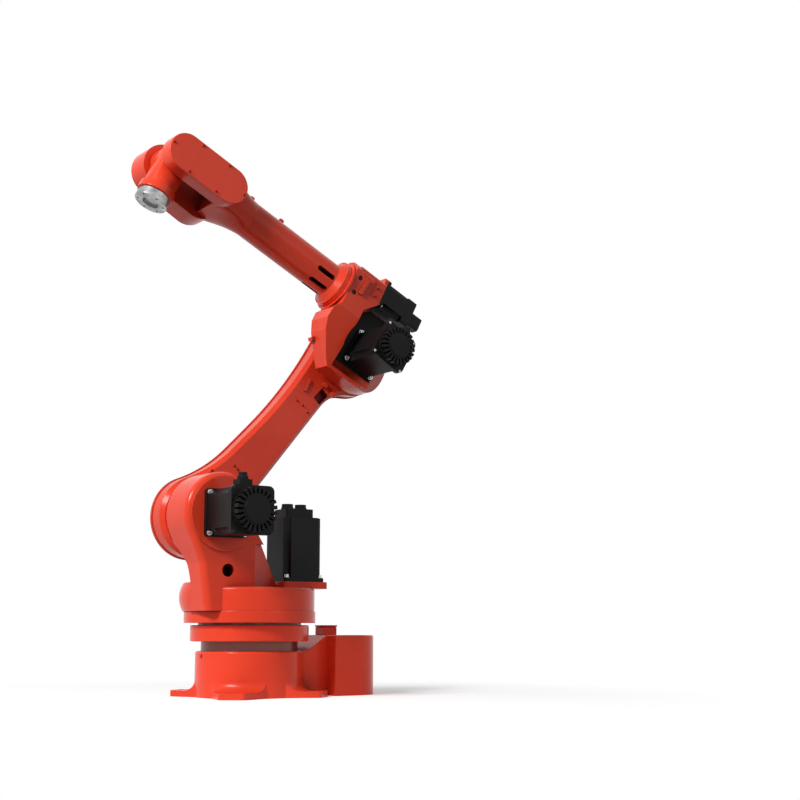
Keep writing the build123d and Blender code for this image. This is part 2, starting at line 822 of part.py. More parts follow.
# Forearm roll motor on its plate behind the gear housing, with the plug on its end cap
roll_motor_line = forearm_line + forearm_lift * roll_motor_lift
roll_plate_seat = axis_plane(roll_motor_line + forearm_axis * gear_block_rear_reach, forearm_axis * -1)
with BuildPart() as roll_motor_plate:
    with BuildSketch(roll_plate_seat):
        RectangleRounded(roll_motor_frame_width, roll_motor_frame_width, motor_corner_radius)
    extrude(amount=roll_plate_thickness)
save(roll_motor_plate.part, "roll_motor_plate")
roll_motor_seat = roll_plate_seat.offset(roll_plate_thickness)
save(
    servo_motor(roll_motor_seat, roll_motor_frame_width, roll_motor_body_width, roll_motor_length),
    "roll_motor",
)
roll_cap_seat = roll_motor_seat.offset(roll_motor_length)
with BuildPart() as roll_motor_cap:
    with BuildSketch(roll_cap_seat):
        RectangleRounded(roll_cap_width, roll_cap_width, motor_corner_radius)
    extrude(amount=roll_cap_length)
    roll_plug_seat = roll_cap_seat.offset(roll_cap_length)
    roll_plug_point = roll_plug_seat.origin - forearm_lift * roll_plug_drop
    with BuildSketch(axis_plane(roll_plug_point, forearm_axis * -1)):
        with Locations((roll_plug_offset, 0)):
            RectangleRounded(roll_plug_width, roll_plug_height, plug_corner_radius)
    extrude(amount=roll_plug_length)
save(roll_motor_cap.part, "roll_motor_cap")

# Forearm casting: flanged tube with windows, spreading into the wrist fork
tube_start = gear_ring_front_reach + running_gap
fork_loft_start = wrist_reach - fork_loft_start_setback
fork_loft_end = wrist_reach - fork_loft_end_setback
tube_seat = axis_plane(forearm_line + forearm_axis * tube_start, forearm_axis)
fork_seat = axis_plane(forearm_line + forearm_axis * fork_loft_end, forearm_axis)


def near_arm_outline():
    """Long round-ended outline of the near fork arm."""
    with BuildSketch(mode=Mode.PRIVATE) as outline:
        with Locations((near_arm_lead - near_arm_length / 2, 0)):
            SlotCenterToCenter(near_arm_length, 2 * near_arm_radius)
    return outline.sketch


def far_arm_outline():
    """Tapering round-ended outline of the broader far fork arm."""
    with BuildSketch(mode=Mode.PRIVATE) as outline:
        Circle(far_arm_radius)
        with Locations((-far_arm_length, -far_arm_root_drop)):
            Circle(far_arm_root_radius)
        make_hull()
    return outline.sketch


with BuildPart() as forearm_casting:
    with BuildSketch(tube_seat):
        Circle(tube_flange_radius)
    extrude(amount=tube_flange_thickness)
    with BuildSketch(tube_seat.offset(tube_flange_thickness)):
        Circle(tube_flange_radius - tube_flange_shoulder)
    with BuildSketch(tube_seat.offset(tube_flange_thickness + tube_flare_length)):
        Circle(tube_radius)
    loft()
    with BuildSketch(tube_seat):
        Circle(tube_radius)
    extrude(amount=fork_loft_start - tube_start)
    with BuildSketch(axis_plane(forearm_line + forearm_axis * fork_loft_start, forearm_axis)):
        Circle(tube_radius)
    with BuildSketch(fork_seat):
        with Locations((-fork_base_offset, 0)):
            RectangleRounded(fork_base_width, fork_base_height, fork_base_corner_radius)
    loft()
    with BuildSketch(fork_seat):
        with Locations((-fork_base_offset, 0)):
            RectangleRounded(fork_base_width, fork_base_height, fork_base_corner_radius)
    extrude(amount=fork_loft_end_setback - fork_crotch_setback)
    with BuildSketch(side_plane(wrist, near_arm_depth, forearm_rise_angle)):
        add(near_arm_outline())
    extrude(amount=near_arm_depth - fork_inner_depth)
    with BuildSketch(side_plane(wrist, -fork_inner_depth, forearm_rise_angle)):
        add(far_arm_outline())
    extrude(amount=far_arm_depth - fork_inner_depth)
    with BuildSketch(tube_seat):
        Circle(tube_bore_radius)
    extrude(amount=wrist_reach - tube_bore_setback - tube_start, mode=Mode.SUBTRACT)
    for window_angle in window_angles:
        outward = Vector(0, cos(radians(window_angle)), 0) + forearm_lift * sin(radians(window_angle))
        window_point = forearm_line + forearm_axis * window_reach + outward * tube_radius
        with BuildSketch(Plane(origin=window_point, x_dir=forearm_axis, z_dir=outward)):
            SlotOverall(window_length, window_width)
        extrude(amount=tube_bore_radius - tube_radius - window_width, mode=Mode.SUBTRACT)
    for tab_reach_share in tab_reach_shares:
        tab_point = forearm_line + forearm_axis * (wrist_reach * tab_reach_share)
        tab_seat = Plane(origin=tab_point, x_dir=forearm_axis, z_dir=forearm_lift)
        with BuildSketch(tab_seat.offset((tube_radius + tube_bore_radius) / 2)):
            RectangleRounded(tab_length, tab_width, tab_corner_radius)
        extrude(amount=(tube_radius - tube_bore_radius) / 2 + tab_height)
save(forearm_casting.part, "forearm_casting")

fork_covers = (
    ("fork_cover_left", near_arm_depth + fork_cover_thickness, near_arm_outline(), Axis.Y),
    ("fork_cover_right", -far_arm_depth, far_arm_outline(), -Axis.Y),
)
for cover_name, cover_side, outline, outside in fork_covers:
    with BuildPart() as fork_cover:
        with BuildSketch(side_plane(wrist, cover_side, forearm_rise_angle)):
            add(outline)
        extrude(amount=fork_cover_thickness)
        fillet(fork_cover.faces().sort_by(outside)[-1].edges(), fork_cover_edge_radius)
    save(fork_cover.part, cover_name)

# Wrist: bearing hub between the fork arms, with a neck that ends in the roll ring
hub_bearing_width = 2 * (fork_inner_depth - running_gap)
with BuildPart() as wrist_casting:
    with BuildSketch(side_plane(wrist, hub_width / 2, forearm_rise_angle)):
        Circle(hub_radius)
    extrude(amount=hub_width)
    with BuildSketch(side_plane(wrist, hub_bearing_width / 2, forearm_rise_angle)):
        Circle(hub_bearing_radius)
    extrude(amount=hub_bearing_width)
    with BuildSketch(axis_plane(wrist + tool_axis * neck_block_reach, tool_axis)):
        RectangleRounded(neck_block_width, neck_block_depth, neck_block_corner_radius)
    with BuildSketch(axis_plane(wrist + tool_axis * neck_end_reach, tool_axis)):
        Circle(neck_end_radius)
    loft()
save(wrist_casting.part, "wrist_casting")

with BuildPart() as wrist_ring:
    with BuildSketch(axis_plane(wrist + tool_axis * neck_end_reach, tool_axis)):
        Circle(wrist_ring_radius)
    extrude(amount=wrist_ring_reach - neck_end_reach)
    fillet(wrist_ring.edges().filter_by(GeomType.CIRCLE), wrist_ring_edge_radius)
save(wrist_ring.part, "wrist_ring")

# Tool flange with its pilot bore and ring of tapped holes
flange_face = axis_plane(wrist + tool_axis * flange_reach, tool_axis)
with BuildPart() as tool_flange:
    with BuildSketch(flange_face):
        Circle(tool_flange_radius)
    extrude(amount=wrist_ring_reach + running_gap - flange_reach)
    fillet(tool_flange.edges().filter_by(GeomType.CIRCLE), tool_flange_edge_radius)
    with BuildSketch(flange_face):
        Circle(tool_pilot_radius)
    extrude(amount=-tool_pilot_depth, mode=Mode.SUBTRACT)
    with BuildSketch(flange_face):
        with PolarLocations(tool_bolt_circle_diameter / 2, tool_bolt_count):
            Circle(tool_bolt_radius)
    extrude(amount=-tool_bolt_depth, mode=Mode.SUBTRACT)
save(tool_flange.part, "tool_flange")
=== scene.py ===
"""Finishes, screws, glands, light, floor and camera for the industrial robot arm."""

import json
import logging
import math
from dataclasses import dataclass
from enum import Enum
from typing import Callable, ClassVar, Mapping, Sequence

import bmesh
import bpy
from mathutils import Matrix, Vector


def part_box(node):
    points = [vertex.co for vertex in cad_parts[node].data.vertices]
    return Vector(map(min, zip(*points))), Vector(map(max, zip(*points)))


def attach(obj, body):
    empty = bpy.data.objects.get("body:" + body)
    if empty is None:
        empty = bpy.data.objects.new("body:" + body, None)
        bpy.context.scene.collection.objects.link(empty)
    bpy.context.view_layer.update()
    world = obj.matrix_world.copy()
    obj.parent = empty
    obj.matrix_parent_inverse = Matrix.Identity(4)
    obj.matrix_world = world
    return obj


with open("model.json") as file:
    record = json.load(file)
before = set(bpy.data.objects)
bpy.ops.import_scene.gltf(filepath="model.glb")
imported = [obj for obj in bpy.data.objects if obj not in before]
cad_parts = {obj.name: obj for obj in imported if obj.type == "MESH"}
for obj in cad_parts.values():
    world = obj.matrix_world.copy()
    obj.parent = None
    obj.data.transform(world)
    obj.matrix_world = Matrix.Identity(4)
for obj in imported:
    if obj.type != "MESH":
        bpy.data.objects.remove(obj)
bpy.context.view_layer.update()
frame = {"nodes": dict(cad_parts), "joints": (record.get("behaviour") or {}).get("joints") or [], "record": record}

MM = 0.001
NEAR = 0.01 * MM
SINK = 0.1 * MM
WELD = 0.001 * MM
FACING_UP = 0.9
FACING_SIDE = 0.1
SMOOTH_DEGREES = 32.0
BEVEL_SAMPLES = 6
HOLLOW_SAMPLES = 8
EDGE_LEAN = (0.02, 0.2)
FORWARD = Vector((1.0, 0.0, 0.0))
SIDE = Vector((0.0, 1.0, 0.0))
UP = Vector((0.0, 0.0, 1.0))

logging.basicConfig(level=logging.INFO, format="%(name)s: %(message)s")
log = logging.getLogger("robot_arm")

Place = tuple[Vector, Vector]
Pair = tuple[float, float]
Triple = tuple[float, float, float]
Colour = tuple[float, float, float, float]


class Body(Enum):
    """Moving bodies of the arm."""

    BASE = "base"
    COLUMN = "column"
    UPPER_ARM = "upper_arm"
    ELBOW = "elbow"
    FOREARM = "forearm"
    WRIST = "wrist"


class Slot(Enum):
    """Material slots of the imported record."""

    ORANGE = "orange_paint"
    MOTOR = "motor_black"
    FAN = "fan_black"
    PLUG = "plug_black"
    BEARING = "bearing_steel"
    FLANGE = "flange_aluminium"


@dataclass(frozen=True)
class Layout:
    """Joint centres and axes of the arm at rest, in metres.

    Args:
        shoulder: Centre of the shoulder axis.
        elbow: Centre of the elbow axis.
        root: Point of the forearm's roll axis above the elbow.
        wrist: Centre of the wrist axis.
        flange: Centre of the tool flange's face.
        arm: Direction of the upper arm, towards the elbow.
        forearm: Direction of the forearm, towards the wrist.
        tool: Direction of the tool flange's face.
    """

    shoulder: Vector
    elbow: Vector
    root: Vector
    wrist: Vector
    flange: Vector
    arm: Vector
    forearm: Vector
    tool: Vector

    @classmethod
    def from_joints(cls, joints: Sequence[Mapping]) -> "Layout":
        """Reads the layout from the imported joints.

        Args:
            joints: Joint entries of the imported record.

        Returns:
            The layout at rest.
        """
        spots = {joint["name"]: Vector(joint["pos_m"]) for joint in joints}
        axes = {joint["name"]: Vector(joint["axis"]).normalized() for joint in joints}
        return cls(
            shoulder=spots["shoulder"],
            elbow=spots["elbow"],
            root=spots["forearm_roll"],
            wrist=spots["wrist_bend"],
            flange=spots["tool_roll"],
            arm=(spots["elbow"] - spots["shoulder"]).normalized(),
            forearm=axes["forearm_roll"],
            tool=axes["tool_roll"],
        )

    @property
    def lift(self) -> Vector:
        """Direction square to the forearm, away from the elbow."""
        return self.forearm.cross(SIDE)


def beside(pivot: Vector, axis: Vector, along: float, across: float, side: float = 0.0) -> Vector:
    """Finds a point by a straight part of the arm.

    Args:
        pivot: Point to start from, in metres.
        axis: Direction of the part.
        along: Millimetres along the part.
        across: Millimetres square to the part, upwards or to the rear.
        side: Millimetres along the sideways axis.

    Returns:
        The point in metres.
    """
    return pivot + (axis * along + axis.cross(SIDE) * across + SIDE * side) * MM


@dataclass(frozen=True)
class Noise:
    """Soft noise about one half.

    Args:
        scale: Cells in a metre.
        detail: Octaves of finer noise.
        rough: Weight of the finer noise.
    """

    scale: float
    detail: float = 2.0
    rough: float = 0.5


class Flow:
    """One shader socket, with operators that add Math nodes.

    Args:
        bench: Bench whose tree holds the socket.
        socket: Output socket of a node.
    """

    def __init__(self, bench: "Bench", socket: bpy.types.NodeSocket) -> None:
        """Keeps the socket and its bench."""
        self.bench = bench
        self.socket = socket

    def _math(self, operation: str, first: object, second: object = 0.0) -> "Flow":
        """Adds one Math node on two values."""
        return self.bench.node("ShaderNodeMath", {"operation": operation}, {0: first, 1: second})

    def __add__(self, other: object) -> "Flow":
        """Adds a value."""
        return self._math("ADD", self, other)

    def __radd__(self, other: object) -> "Flow":
        """Adds this to a value."""
        return self._math("ADD", other, self)

    def __sub__(self, other: object) -> "Flow":
        """Takes a value away."""
        return self._math("SUBTRACT", self, other)

    def __rsub__(self, other: object) -> "Flow":
        """Takes this away from a value."""
        return self._math("SUBTRACT", other, self)

    def __mul__(self, other: object) -> "Flow":
        """Multiplies by a value."""
        return self._math("MULTIPLY", self, other)

    def __gt__(self, other: object) -> "Flow":
        """Gives one where this is above a value, and zero elsewhere."""
        return self._math("GREATER_THAN", self, other)

    def __lt__(self, other: object) -> "Flow":
        """Gives one where this is below a value, and zero elsewhere."""
        return self._math("LESS_THAN", self, other)

    def sine(self) -> "Flow":
        """Gives the sine of this value."""
        return self._math("SINE", self)

    def within(self, low: float, high: float) -> "Flow":
        """Gives zero at low and one at high, smoothly and clamped between.

        Args:
            low: Value that becomes zero.
            high: Value that becomes one.

        Returns:
            The smoothed value.
        """
        return self.bench.node(
            "ShaderNodeMapRange",
            {"interpolation_type": "SMOOTHSTEP"},
            {"Value": self, "From Min": low, "From Max": high},
        )


class Bench:
    """Node tree of one finish or of the surroundings, emptied for its nodes.

    Args:
        tree: Node tree to work in.
    """

    def __init__(self, tree: bpy.types.NodeTree) -> None:
        """Empties the tree."""
        self.tree = tree
        self.tree.nodes.clear()

    def node(
        self,
        kind: str,
        settings: Mapping[str, object] | None = None,
        sockets: Mapping[int | str, object] | None = None,
        out: int | str = 0,
    ) -> Flow:
        """Adds any node.

        Args:
            kind: Blender's type of the node.
            settings: Properties that are set first.
            sockets: Values or links of the input sockets.
            out: Output socket that is handed on.

        Returns:
            The chosen output, or the node's first input where it has no output.
        """
        made = self.tree.nodes.new(kind)
        for key, value in (settings or {}).items():
            setattr(made, key, value)
        for key, value in (sockets or {}).items():
            if isinstance(value, Flow):
                self.tree.links.new(value.socket, made.inputs[key])
            else:
                made.inputs[key].default_value = value
        return Flow(self, made.outputs[out] if made.outputs else made.inputs[0])

    def place(self) -> Flow:
        """Gives the place on the piece, in metres."""
        return self.node("ShaderNodeTexCoord", out="Object")

    def vector(self, operation: str, first: Flow, second: Flow | Triple, out: int = 0) -> Flow:
        """Adds one Vector Math node on two vectors."""
        sockets = {0: first, 1: second}
        return self.node("ShaderNodeVectorMath", {"operation": operation}, sockets, out)

    def radius(self, place: Flow) -> Flow:
        """Gives the distance of a place from its upright axis, in metres."""
        flat = self.vector("MULTIPLY", place, (1.0, 1.0, 0.0))
        return self.vector("LENGTH", flat, (0.0, 0.0, 0.0), 1)

    def noise(self, place: Flow, noise: Noise) -> Flow:
        """Adds soft noise, read at a place on the piece."""
        sockets = {"Vector": place, "Scale": noise.scale, "Detail": noise.detail}
        return self.node("ShaderNodeTexNoise", None, sockets | {"Roughness": noise.rough})

    def blend(self, share: Flow, first: Flow | Colour, second: Flow | Colour) -> Flow:
        """Mixes two colours.

        Args:
            share: How much of the second colour shows.
            first: Colour where the share is zero.
            second: Colour where the share is one.

        Returns:
            The mixed colour.
        """
        return self.node("ShaderNodeMix", {"data_type": "RGBA"}, {0: share, 6: first, 7: second}, 2)

    def rounded(self, radius: float) -> Flow:
        """Gives a normal that rounds sharp edges by a radius in metres."""
        return self.node("ShaderNodeBevel", {"samples": BEVEL_SAMPLES}, {"Radius": radius})

    def edges(self, normal: Flow) -> Flow:
        """Gives one where a rounded normal leans away from the flat one."""
        flat = self.node("ShaderNodeNewGeometry", out="Normal")
        return (1.0 - self.vector("DOT_PRODUCT", normal, flat, 1)).within(*EDGE_LEAN)

    def hollows(self, reach: float) -> Flow:
        """Finds the piece's own hollows.

        Args:
            reach: How far apart the walls of a hollow may be, in metres.

        Returns:
            Zero in the open, nearing one deep in a hollow.
        """
        settings = {"samples": HOLLOW_SAMPLES, "only_local": True}
        return 1.0 - self.node("ShaderNodeAmbientOcclusion", settings, {"Distance": reach}, "AO")

    def bump(self, height: Flow, distance: float, strength: float, normal: Flow) -> Flow:
        """Adds fine relief.

        Args:
            height: Relief from zero to one.
            distance: Height of the relief in metres.
            strength: Weight of the relief.
            normal: Normal that the relief stands on.

        Returns:
            The new normal.
        """
        sockets = {"Strength": strength, "Distance": distance, "Height": height, "Normal": normal}
        return self.node("ShaderNodeBump", None, sockets)


@dataclass(frozen=True)
class Finish:
    """Base of all finishes: a patchy colour with a fine relief.

    Args:
        name: Name of the finish's material.
        slot: Record slot of the pieces that have it.
        colour: Colour of the flats.
        patch: Colour of the patches in it.
        roughness: Roughness of the flats.
        edge_radius: Rounding of the edges in metres.
        tone: Noise of the patches.
        tone_range: Values of that noise at which a patch begins and is full.
        tone_rough: Change of the roughness with that noise.
        grain_depth: Height of the relief in metres.
        grain_share: Weight of the relief.
        grain_rough: Change of the roughness with the relief.
        grain: Noise of the relief.
        edge_highlight: Colour of the painted highlight on the edges.
        edge_highlight_share: How much of the painted edge highlight shows.
        gloss: Specular level.
        metallic: How much of it is bare metal.
    """

    name: str
    slot: Slot
    colour: Colour
    patch: Colour
    roughness: float
    edge_radius: float
    tone: Noise
    tone_range: Pair
    tone_rough: float
    grain_depth: float
    grain_share: float
    grain_rough: float = 0.0
    grain: Noise = Noise(650.0, 2.0, 0.6)
    # Colour of the painted highlight along the edges.
    edge_highlight: Colour = (0.0, 0.0, 0.0, 1.0)
    edge_highlight_share: float = 0.0
    gloss: float = 0.5
    metallic: float = 0.0

    def relief(self, bench: Bench, place: Flow) -> Flow:
        """Gives the finish's relief, from zero to one."""
        return bench.noise(place, self.grain)

    def cover(self, bench: Bench, place: Flow, sockets: dict[str, object]) -> None:
        """Changes the surface's sockets, in a finish that has more on top."""

    def lay(self, bench: Bench) -> None:
        """Lays the finish's nodes on a bench.

        Args:
            bench: Bench of the finish's material.
        """
        place = bench.place()
        normal = bench.rounded(self.edge_radius)
        tone = bench.noise(place, self.tone)
        grain = self.relief(bench, place)
        colour = bench.blend(tone.within(*self.tone_range), self.colour, self.patch)
        # Painted highlight: the colour turns lighter along the rounded edges.
        if self.edge_highlight_share > 0.0:
            colour = bench.blend(bench.edges(normal) * self.edge_highlight_share, colour, self.edge_highlight)
        rough = self.roughness + (tone - 0.5) * self.tone_rough + (grain - 0.5) * self.grain_rough
        sockets = {
            "Base Color": colour,
            "Roughness": rough,
            "Normal": bench.bump(grain, self.grain_depth, self.grain_share, normal),
            "Specular IOR Level": self.gloss,
            "Metallic": self.metallic,
        }
        self.cover(bench, place, sockets)
        shader = bench.node("ShaderNodeBsdfPrincipled", None, sockets, "BSDF")
        bench.node("ShaderNodeOutputMaterial", None, {"Surface": shader})

    def material(self) -> bpy.types.Material:
        """Makes the material, or finds it where it was made before.

        Returns:
            The material of this finish.
        """
        made = bpy.data.materials.get(self.name)
        if made is None:
            made = bpy.data.materials.new(self.name)
            made.use_nodes = True
            self.lay(Bench(made.node_tree))
        return made


@dataclass(frozen=True)
class GlossPaint(Finish):
    """Gloss paint over castings, with a painted highlight on edges and painted shade in hollows.

    Args:
        painted_shade: Colour of the painted shade in deep hollows.
        painted_shade_share: How much of the painted shade shows at most.
        hollow_reach: Distance between the walls of a shaded hollow, in metres.
        hollow_range: Depths of a hollow at which the painted shade begins and is full.
        hollow_rough: Change of the roughness with that depth.
        peel: Noise of the paint's fine ripple.
        peel_depth: Height of that ripple in metres.
        bare_low: Lowest height of a bare band, in metres.
        bare_high: Highest height of a bare band, in metres.
        bare_radius: Distance of the bare band's edge from the turning axis, in metres.
        bare: Colour of the bare band, reddish as a painted reflection of the orange paint.
        bare_metal: How metallic the bare band is.
        bare_roughness: Roughness of the bare band.
    """

    slot: Slot = Slot.ORANGE
    colour: Colour = (0.83, 0.060, 0.023, 1.0)
    patch: Colour = (0.74, 0.046, 0.016, 1.0)
    roughness: float = 0.21
    edge_radius: float = 2.6 * MM
    tone: Noise = Noise(3.2, 4.0, 0.6)
    tone_range: Pair = (0.34, 0.66)
    tone_rough: float = 0.10
    grain_depth: float = 1.2 * MM
    grain_share: float = 0.10
    grain_rough: float = 0.06
    grain: Noise = Noise(46.0, 4.0, 0.55)
    edge_highlight: Colour = (0.90, 0.100, 0.050, 1.0)
    edge_highlight_share: float = 0.55
    gloss: float = 0.18
    # Near-black colour of the painted shade in hollows.
    painted_shade: Colour = (0.075, 0.005, 0.003, 1.0)
    painted_shade_share: float = 0.95
    hollow_reach: float = 0.17
    hollow_range: Pair = (0.15, 0.75)
    hollow_rough: float = 0.3
    peel: Noise = Noise(420.0, 1.0)
    peel_depth: float = 0.25 * MM
    bare_low: float = 0.0
    bare_high: float = 0.0
    bare_radius: float = 0.0
    # Dark steel whose reddish tint is a painted reflection of the orange paint round it.
    bare: Colour = (0.17, 0.062, 0.054, 1.0)
    bare_metal: float = 0.7
    bare_roughness: float = 0.32

    def cover(self, bench: Bench, place: Flow, sockets: dict[str, object]) -> None:
        """Adds the paint's ripple, the painted shade in its hollows and its bare band.

        Args:
            bench: Bench of the paint's material.
            place: Place on the piece.
            sockets: Sockets of the surface, which are changed.
        """
        # Painted shade: the paint darkens to near black deep in the piece's own hollows.
        hollow = bench.hollows(self.hollow_reach)
        painted_shade_mask = hollow.within(*self.hollow_range) * self.painted_shade_share
        paint = bench.blend(painted_shade_mask, sockets["Base Color"], self.painted_shade)
        rough = sockets["Roughness"] + hollow * self.hollow_rough
        peel = bench.noise(place, self.peel)
        normal = bench.bump(peel, self.peel_depth, self.grain_share, sockets["Normal"])
        sockets.update({"Base Color": paint, "Roughness": rough, "Normal": normal})
        if self.bare_high > self.bare_low:
            height = bench.node("ShaderNodeSeparateXYZ", None, {0: place}, 2)
            band = (height > self.bare_low) * (height < self.bare_high)
            band = band * (bench.radius(place) < self.bare_radius)
            # The bare band's reddish colour is a painted reflection of the orange paint round it.
            sockets["Base Color"] = bench.blend(band, paint, self.bare)
            sockets["Metallic"] = band * self.bare_metal
            sockets["Roughness"] = rough * (1.0 - band) + band * self.bare_roughness


@dataclass(frozen=True)
class CastBlack(Finish):
    """Black over a fine casting, with a painted highlight on the edges."""

    slot: Slot = Slot.MOTOR
    colour: Colour = (0.0055, 0.0056, 0.0054, 1.0)
    patch: Colour = (0.0095, 0.0095, 0.0092, 1.0)
    roughness: float = 0.38
    edge_radius: float = 1.4 * MM
    tone: Noise = Noise(7.0, 4.0, 0.6)
    tone_range: Pair = (0.3, 0.7)
    tone_rough: float = 0.16
    grain_depth: float = 0.5 * MM
    grain_share: float = 0.16
    grain_rough: float = 0.10
    edge_highlight: Colour = (0.030, 0.030, 0.029, 1.0)
    edge_highlight_share: float = 0.6
    gloss: float = 0.12


@dataclass(frozen=True)
class TurnedMetal(Finish):
    """Metal with the fine rings of a lathe about one axis.

    Args:
        centre: Point on the axis, in metres.
        axis: Direction of the axis.
        pitch: Distance from ring to ring in metres.
    """

    slot: Slot = Slot.BEARING
    colour: Colour = (0.42, 0.425, 0.42, 1.0)
    patch: Colour = (0.27, 0.275, 0.27, 1.0)
    roughness: float = 0.31
    edge_radius: float = 0.8 * MM
    tone: Noise = Noise(55.0, 3.0, 0.6)
    tone_range: Pair = (0.35, 0.65)
    tone_rough: float = 0.14
    grain_depth: float = 0.06 * MM
    grain_share: float = 0.25
    grain_rough: float = 0.06
    edge_highlight: Colour = (0.80, 0.80, 0.79, 1.0)
    edge_highlight_share: float = 0.5
    metallic: float = 1.0
    centre: Triple = (0.0, 0.0, 0.0)
    axis: Triple = (0.0, 0.0, 1.0)
    pitch: float = 0.9 * MM

    def relief(self, bench: Bench, place: Flow) -> Flow:
        """Gives the rings of the lathe.

        Args:
            bench: Bench of the metal's material.
            place: Place on the piece.

        Returns:
            Rings from zero to one.
        """
        turn = Vector(self.axis).to_track_quat("Z", "Y").to_euler()
        sockets = {0: place, 1: self.centre, 2: turn}
        local = bench.node("ShaderNodeMapping", {"vector_type": "TEXTURE"}, sockets)
        return (bench.radius(local) * (math.tau / self.pitch)).sine() * 0.5 + 0.5


@dataclass(frozen=True)
class ScrewMetal(Finish):
    """Plated or oiled metal of small screws."""

    slot: Slot = Slot.BEARING
    colour: Colour = (0.62, 0.62, 0.60, 1.0)
    patch: Colour = (0.38, 0.37, 0.35, 1.0)
    roughness: float = 0.28
    edge_radius: float = 0.4 * MM
    tone: Noise = Noise(240.0, 3.0, 0.6)
    tone_range: Pair = (0.4, 0.7)
    tone_rough: float = 0.2
    grain_depth: float = 0.05 * MM
    grain_share: float = 0.12
    grain: Noise = Noise(1600.0, 1.0)
    metallic: float = 1.0


class Work:
    """One mesh being modelled with edit operators, from the primitive just added.

    Args:
        name: Name of the piece.
    """

    def __init__(self, name: str) -> None:
        """Takes up the active primitive, with its size and place applied."""
        bpy.ops.object.transform_apply(location=True, rotation=True, scale=True)
        self.piece = bpy.context.object
        self.piece.name = name
        bpy.ops.object.mode_set(mode="EDIT")

    @classmethod
    def cylinder(cls, name: str, sides: int, radius: float, height: float) -> "Work":
        """Starts from a cylinder that stands on the floor.

        Args:
            name: Name of the piece.
            sides: Number of sides.
            radius: Radius in metres.
            height: Height in metres.

        Returns:
            The work on the cylinder.
        """
        bpy.ops.object.select_all(action="DESELECT")
        bpy.ops.mesh.primitive_cylinder_add(
            vertices=sides, radius=radius, depth=height, location=(0.0, 0.0, height / 2)
        )
        return cls(name)

    @classmethod
    def block(cls, name: str, low: Vector, high: Vector) -> "Work":
        """Starts from a block.

        Args:
            name: Name of the piece.
            low: Lowest corner in metres.
            high: Highest corner in metres.

        Returns:
            The work on the block.
        """
        bpy.ops.object.select_all(action="DESELECT")
        bpy.ops.mesh.primitive_cube_add(size=1.0, location=(low + high) / 2)
        bpy.context.object.scale = high - low
        return cls(name)

    def faces(self, test: Callable[[Vector, Vector], bool]) -> None:
        """Selects faces.

        Args:
            test: Says from a face's centre and normal whether it is selected.
        """
        bpy.ops.mesh.select_mode(type="FACE")
        bpy.ops.mesh.select_all(action="DESELECT")
        mesh = bmesh.from_edit_mesh(self.piece.data)
        for face in mesh.faces:
            face.select_set(test(face.calc_center_median(), face.normal))
        bmesh.update_edit_mesh(self.piece.data)

    def tops(self, above: float = 0.0) -> None:
        """Selects the faces that face up, above a height in metres."""
        self.faces(lambda centre, normal: normal.z > FACING_UP and centre.z > above)

    def edges(self, test: Callable[[Vector, Vector], bool]) -> None:
        """Selects edges.

        Args:
            test: Says from an edge's two ends whether it is selected.
        """
        bpy.ops.mesh.select_mode(type="EDGE")
        bpy.ops.mesh.select_all(action="DESELECT")
        mesh = bmesh.from_edit_mesh(self.piece.data)
        for edge in mesh.edges:
            edge.select_set(test(edge.verts[0].co, edge.verts[1].co))
        bmesh.update_edit_mesh(self.piece.data)

    def raise_by(self, height: float) -> None:
        """Extrudes what is selected straight up by a height in metres."""
        bpy.ops.mesh.extrude_region_move(TRANSFORM_OT_translate={"value": (0.0, 0.0, height)})

    def close(self) -> bpy.types.Object:
        """Ends the modelling.

        Returns:
            The finished piece.
        """
        bpy.ops.mesh.select_all(action="SELECT")
        bpy.ops.mesh.remove_doubles(threshold=WELD)
        bpy.ops.mesh.normals_make_consistent(inside=False)
        bpy.ops.object.mode_set(mode="OBJECT")
        bpy.ops.object.shade_smooth_by_angle(angle=math.radians(SMOOTH_DEGREES))
        return self.piece


@dataclass(frozen=True)
class Screw:
    """Cap screw with a washer and a six-sided socket, sizes in millimetres.

    Args:
        head_radius: Radius of the head.
        head_height: Height of the head over the washer.
        socket_radius: Radius of the socket's corners.
        socket_depth: Depth of the socket.
        washer_radius: Radius of the washer.
        washer_height: Height of the washer.
        rim: Size of the rounding round the head.
        sides: Number of sides of the round parts.
        ledge_share: Share of the way from the rim to the socket that is a plain ring.
    """

    head_radius: float
    head_height: float
    socket_radius: float
    socket_depth: float
    washer_radius: float
    washer_height: float
    rim: float
    sides: int = 24
    ledge_share: float = 0.3

    def model(self, name: str) -> bpy.types.Object:
        """Models one screw that stands on the floor and points up.

        Args:
            name: Name of the piece.

        Returns:
            The screw.
        """
        top = (self.washer_height + self.head_height) * MM
        flat = self.head_radius - self.rim
        ledge = self.ledge_share * (flat - self.socket_radius)
        work = Work.cylinder(name, self.sides, self.washer_radius * MM, self.washer_height * MM)
        work.tops()
        bpy.ops.mesh.inset(thickness=(self.washer_radius - self.head_radius) * MM)
        work.raise_by(self.head_height * MM)
        bpy.ops.mesh.region_to_loop()
        bpy.ops.mesh.bevel(offset=self.rim * MM, segments=3, affect="EDGES")
        work.tops(top - NEAR)
        bpy.ops.mesh.inset(thickness=ledge * MM)
        bpy.ops.mesh.delete(type="ONLY_FACE")
        bpy.ops.mesh.primitive_circle_add(
            vertices=6, radius=self.socket_radius * MM, location=(0.0, 0.0, top)
        )

        def top_edges(radius: float) -> None:
            """Selects the edges of the top within a radius in millimetres."""
            reach = radius * MM + NEAR
            work.edges(
                lambda a, b: min(a.z, b.z) > top - NEAR and max(a.xy.length, b.xy.length) < reach
            )

        top_edges(flat - ledge)
        bpy.ops.mesh.bridge_edge_loops()
        top_edges(self.socket_radius)
        bpy.ops.mesh.extrude_edges_move(
            TRANSFORM_OT_translate={"value": (0.0, 0.0, -self.socket_depth * MM)}
        )
        bpy.ops.mesh.edge_face_add()
        return work.close()


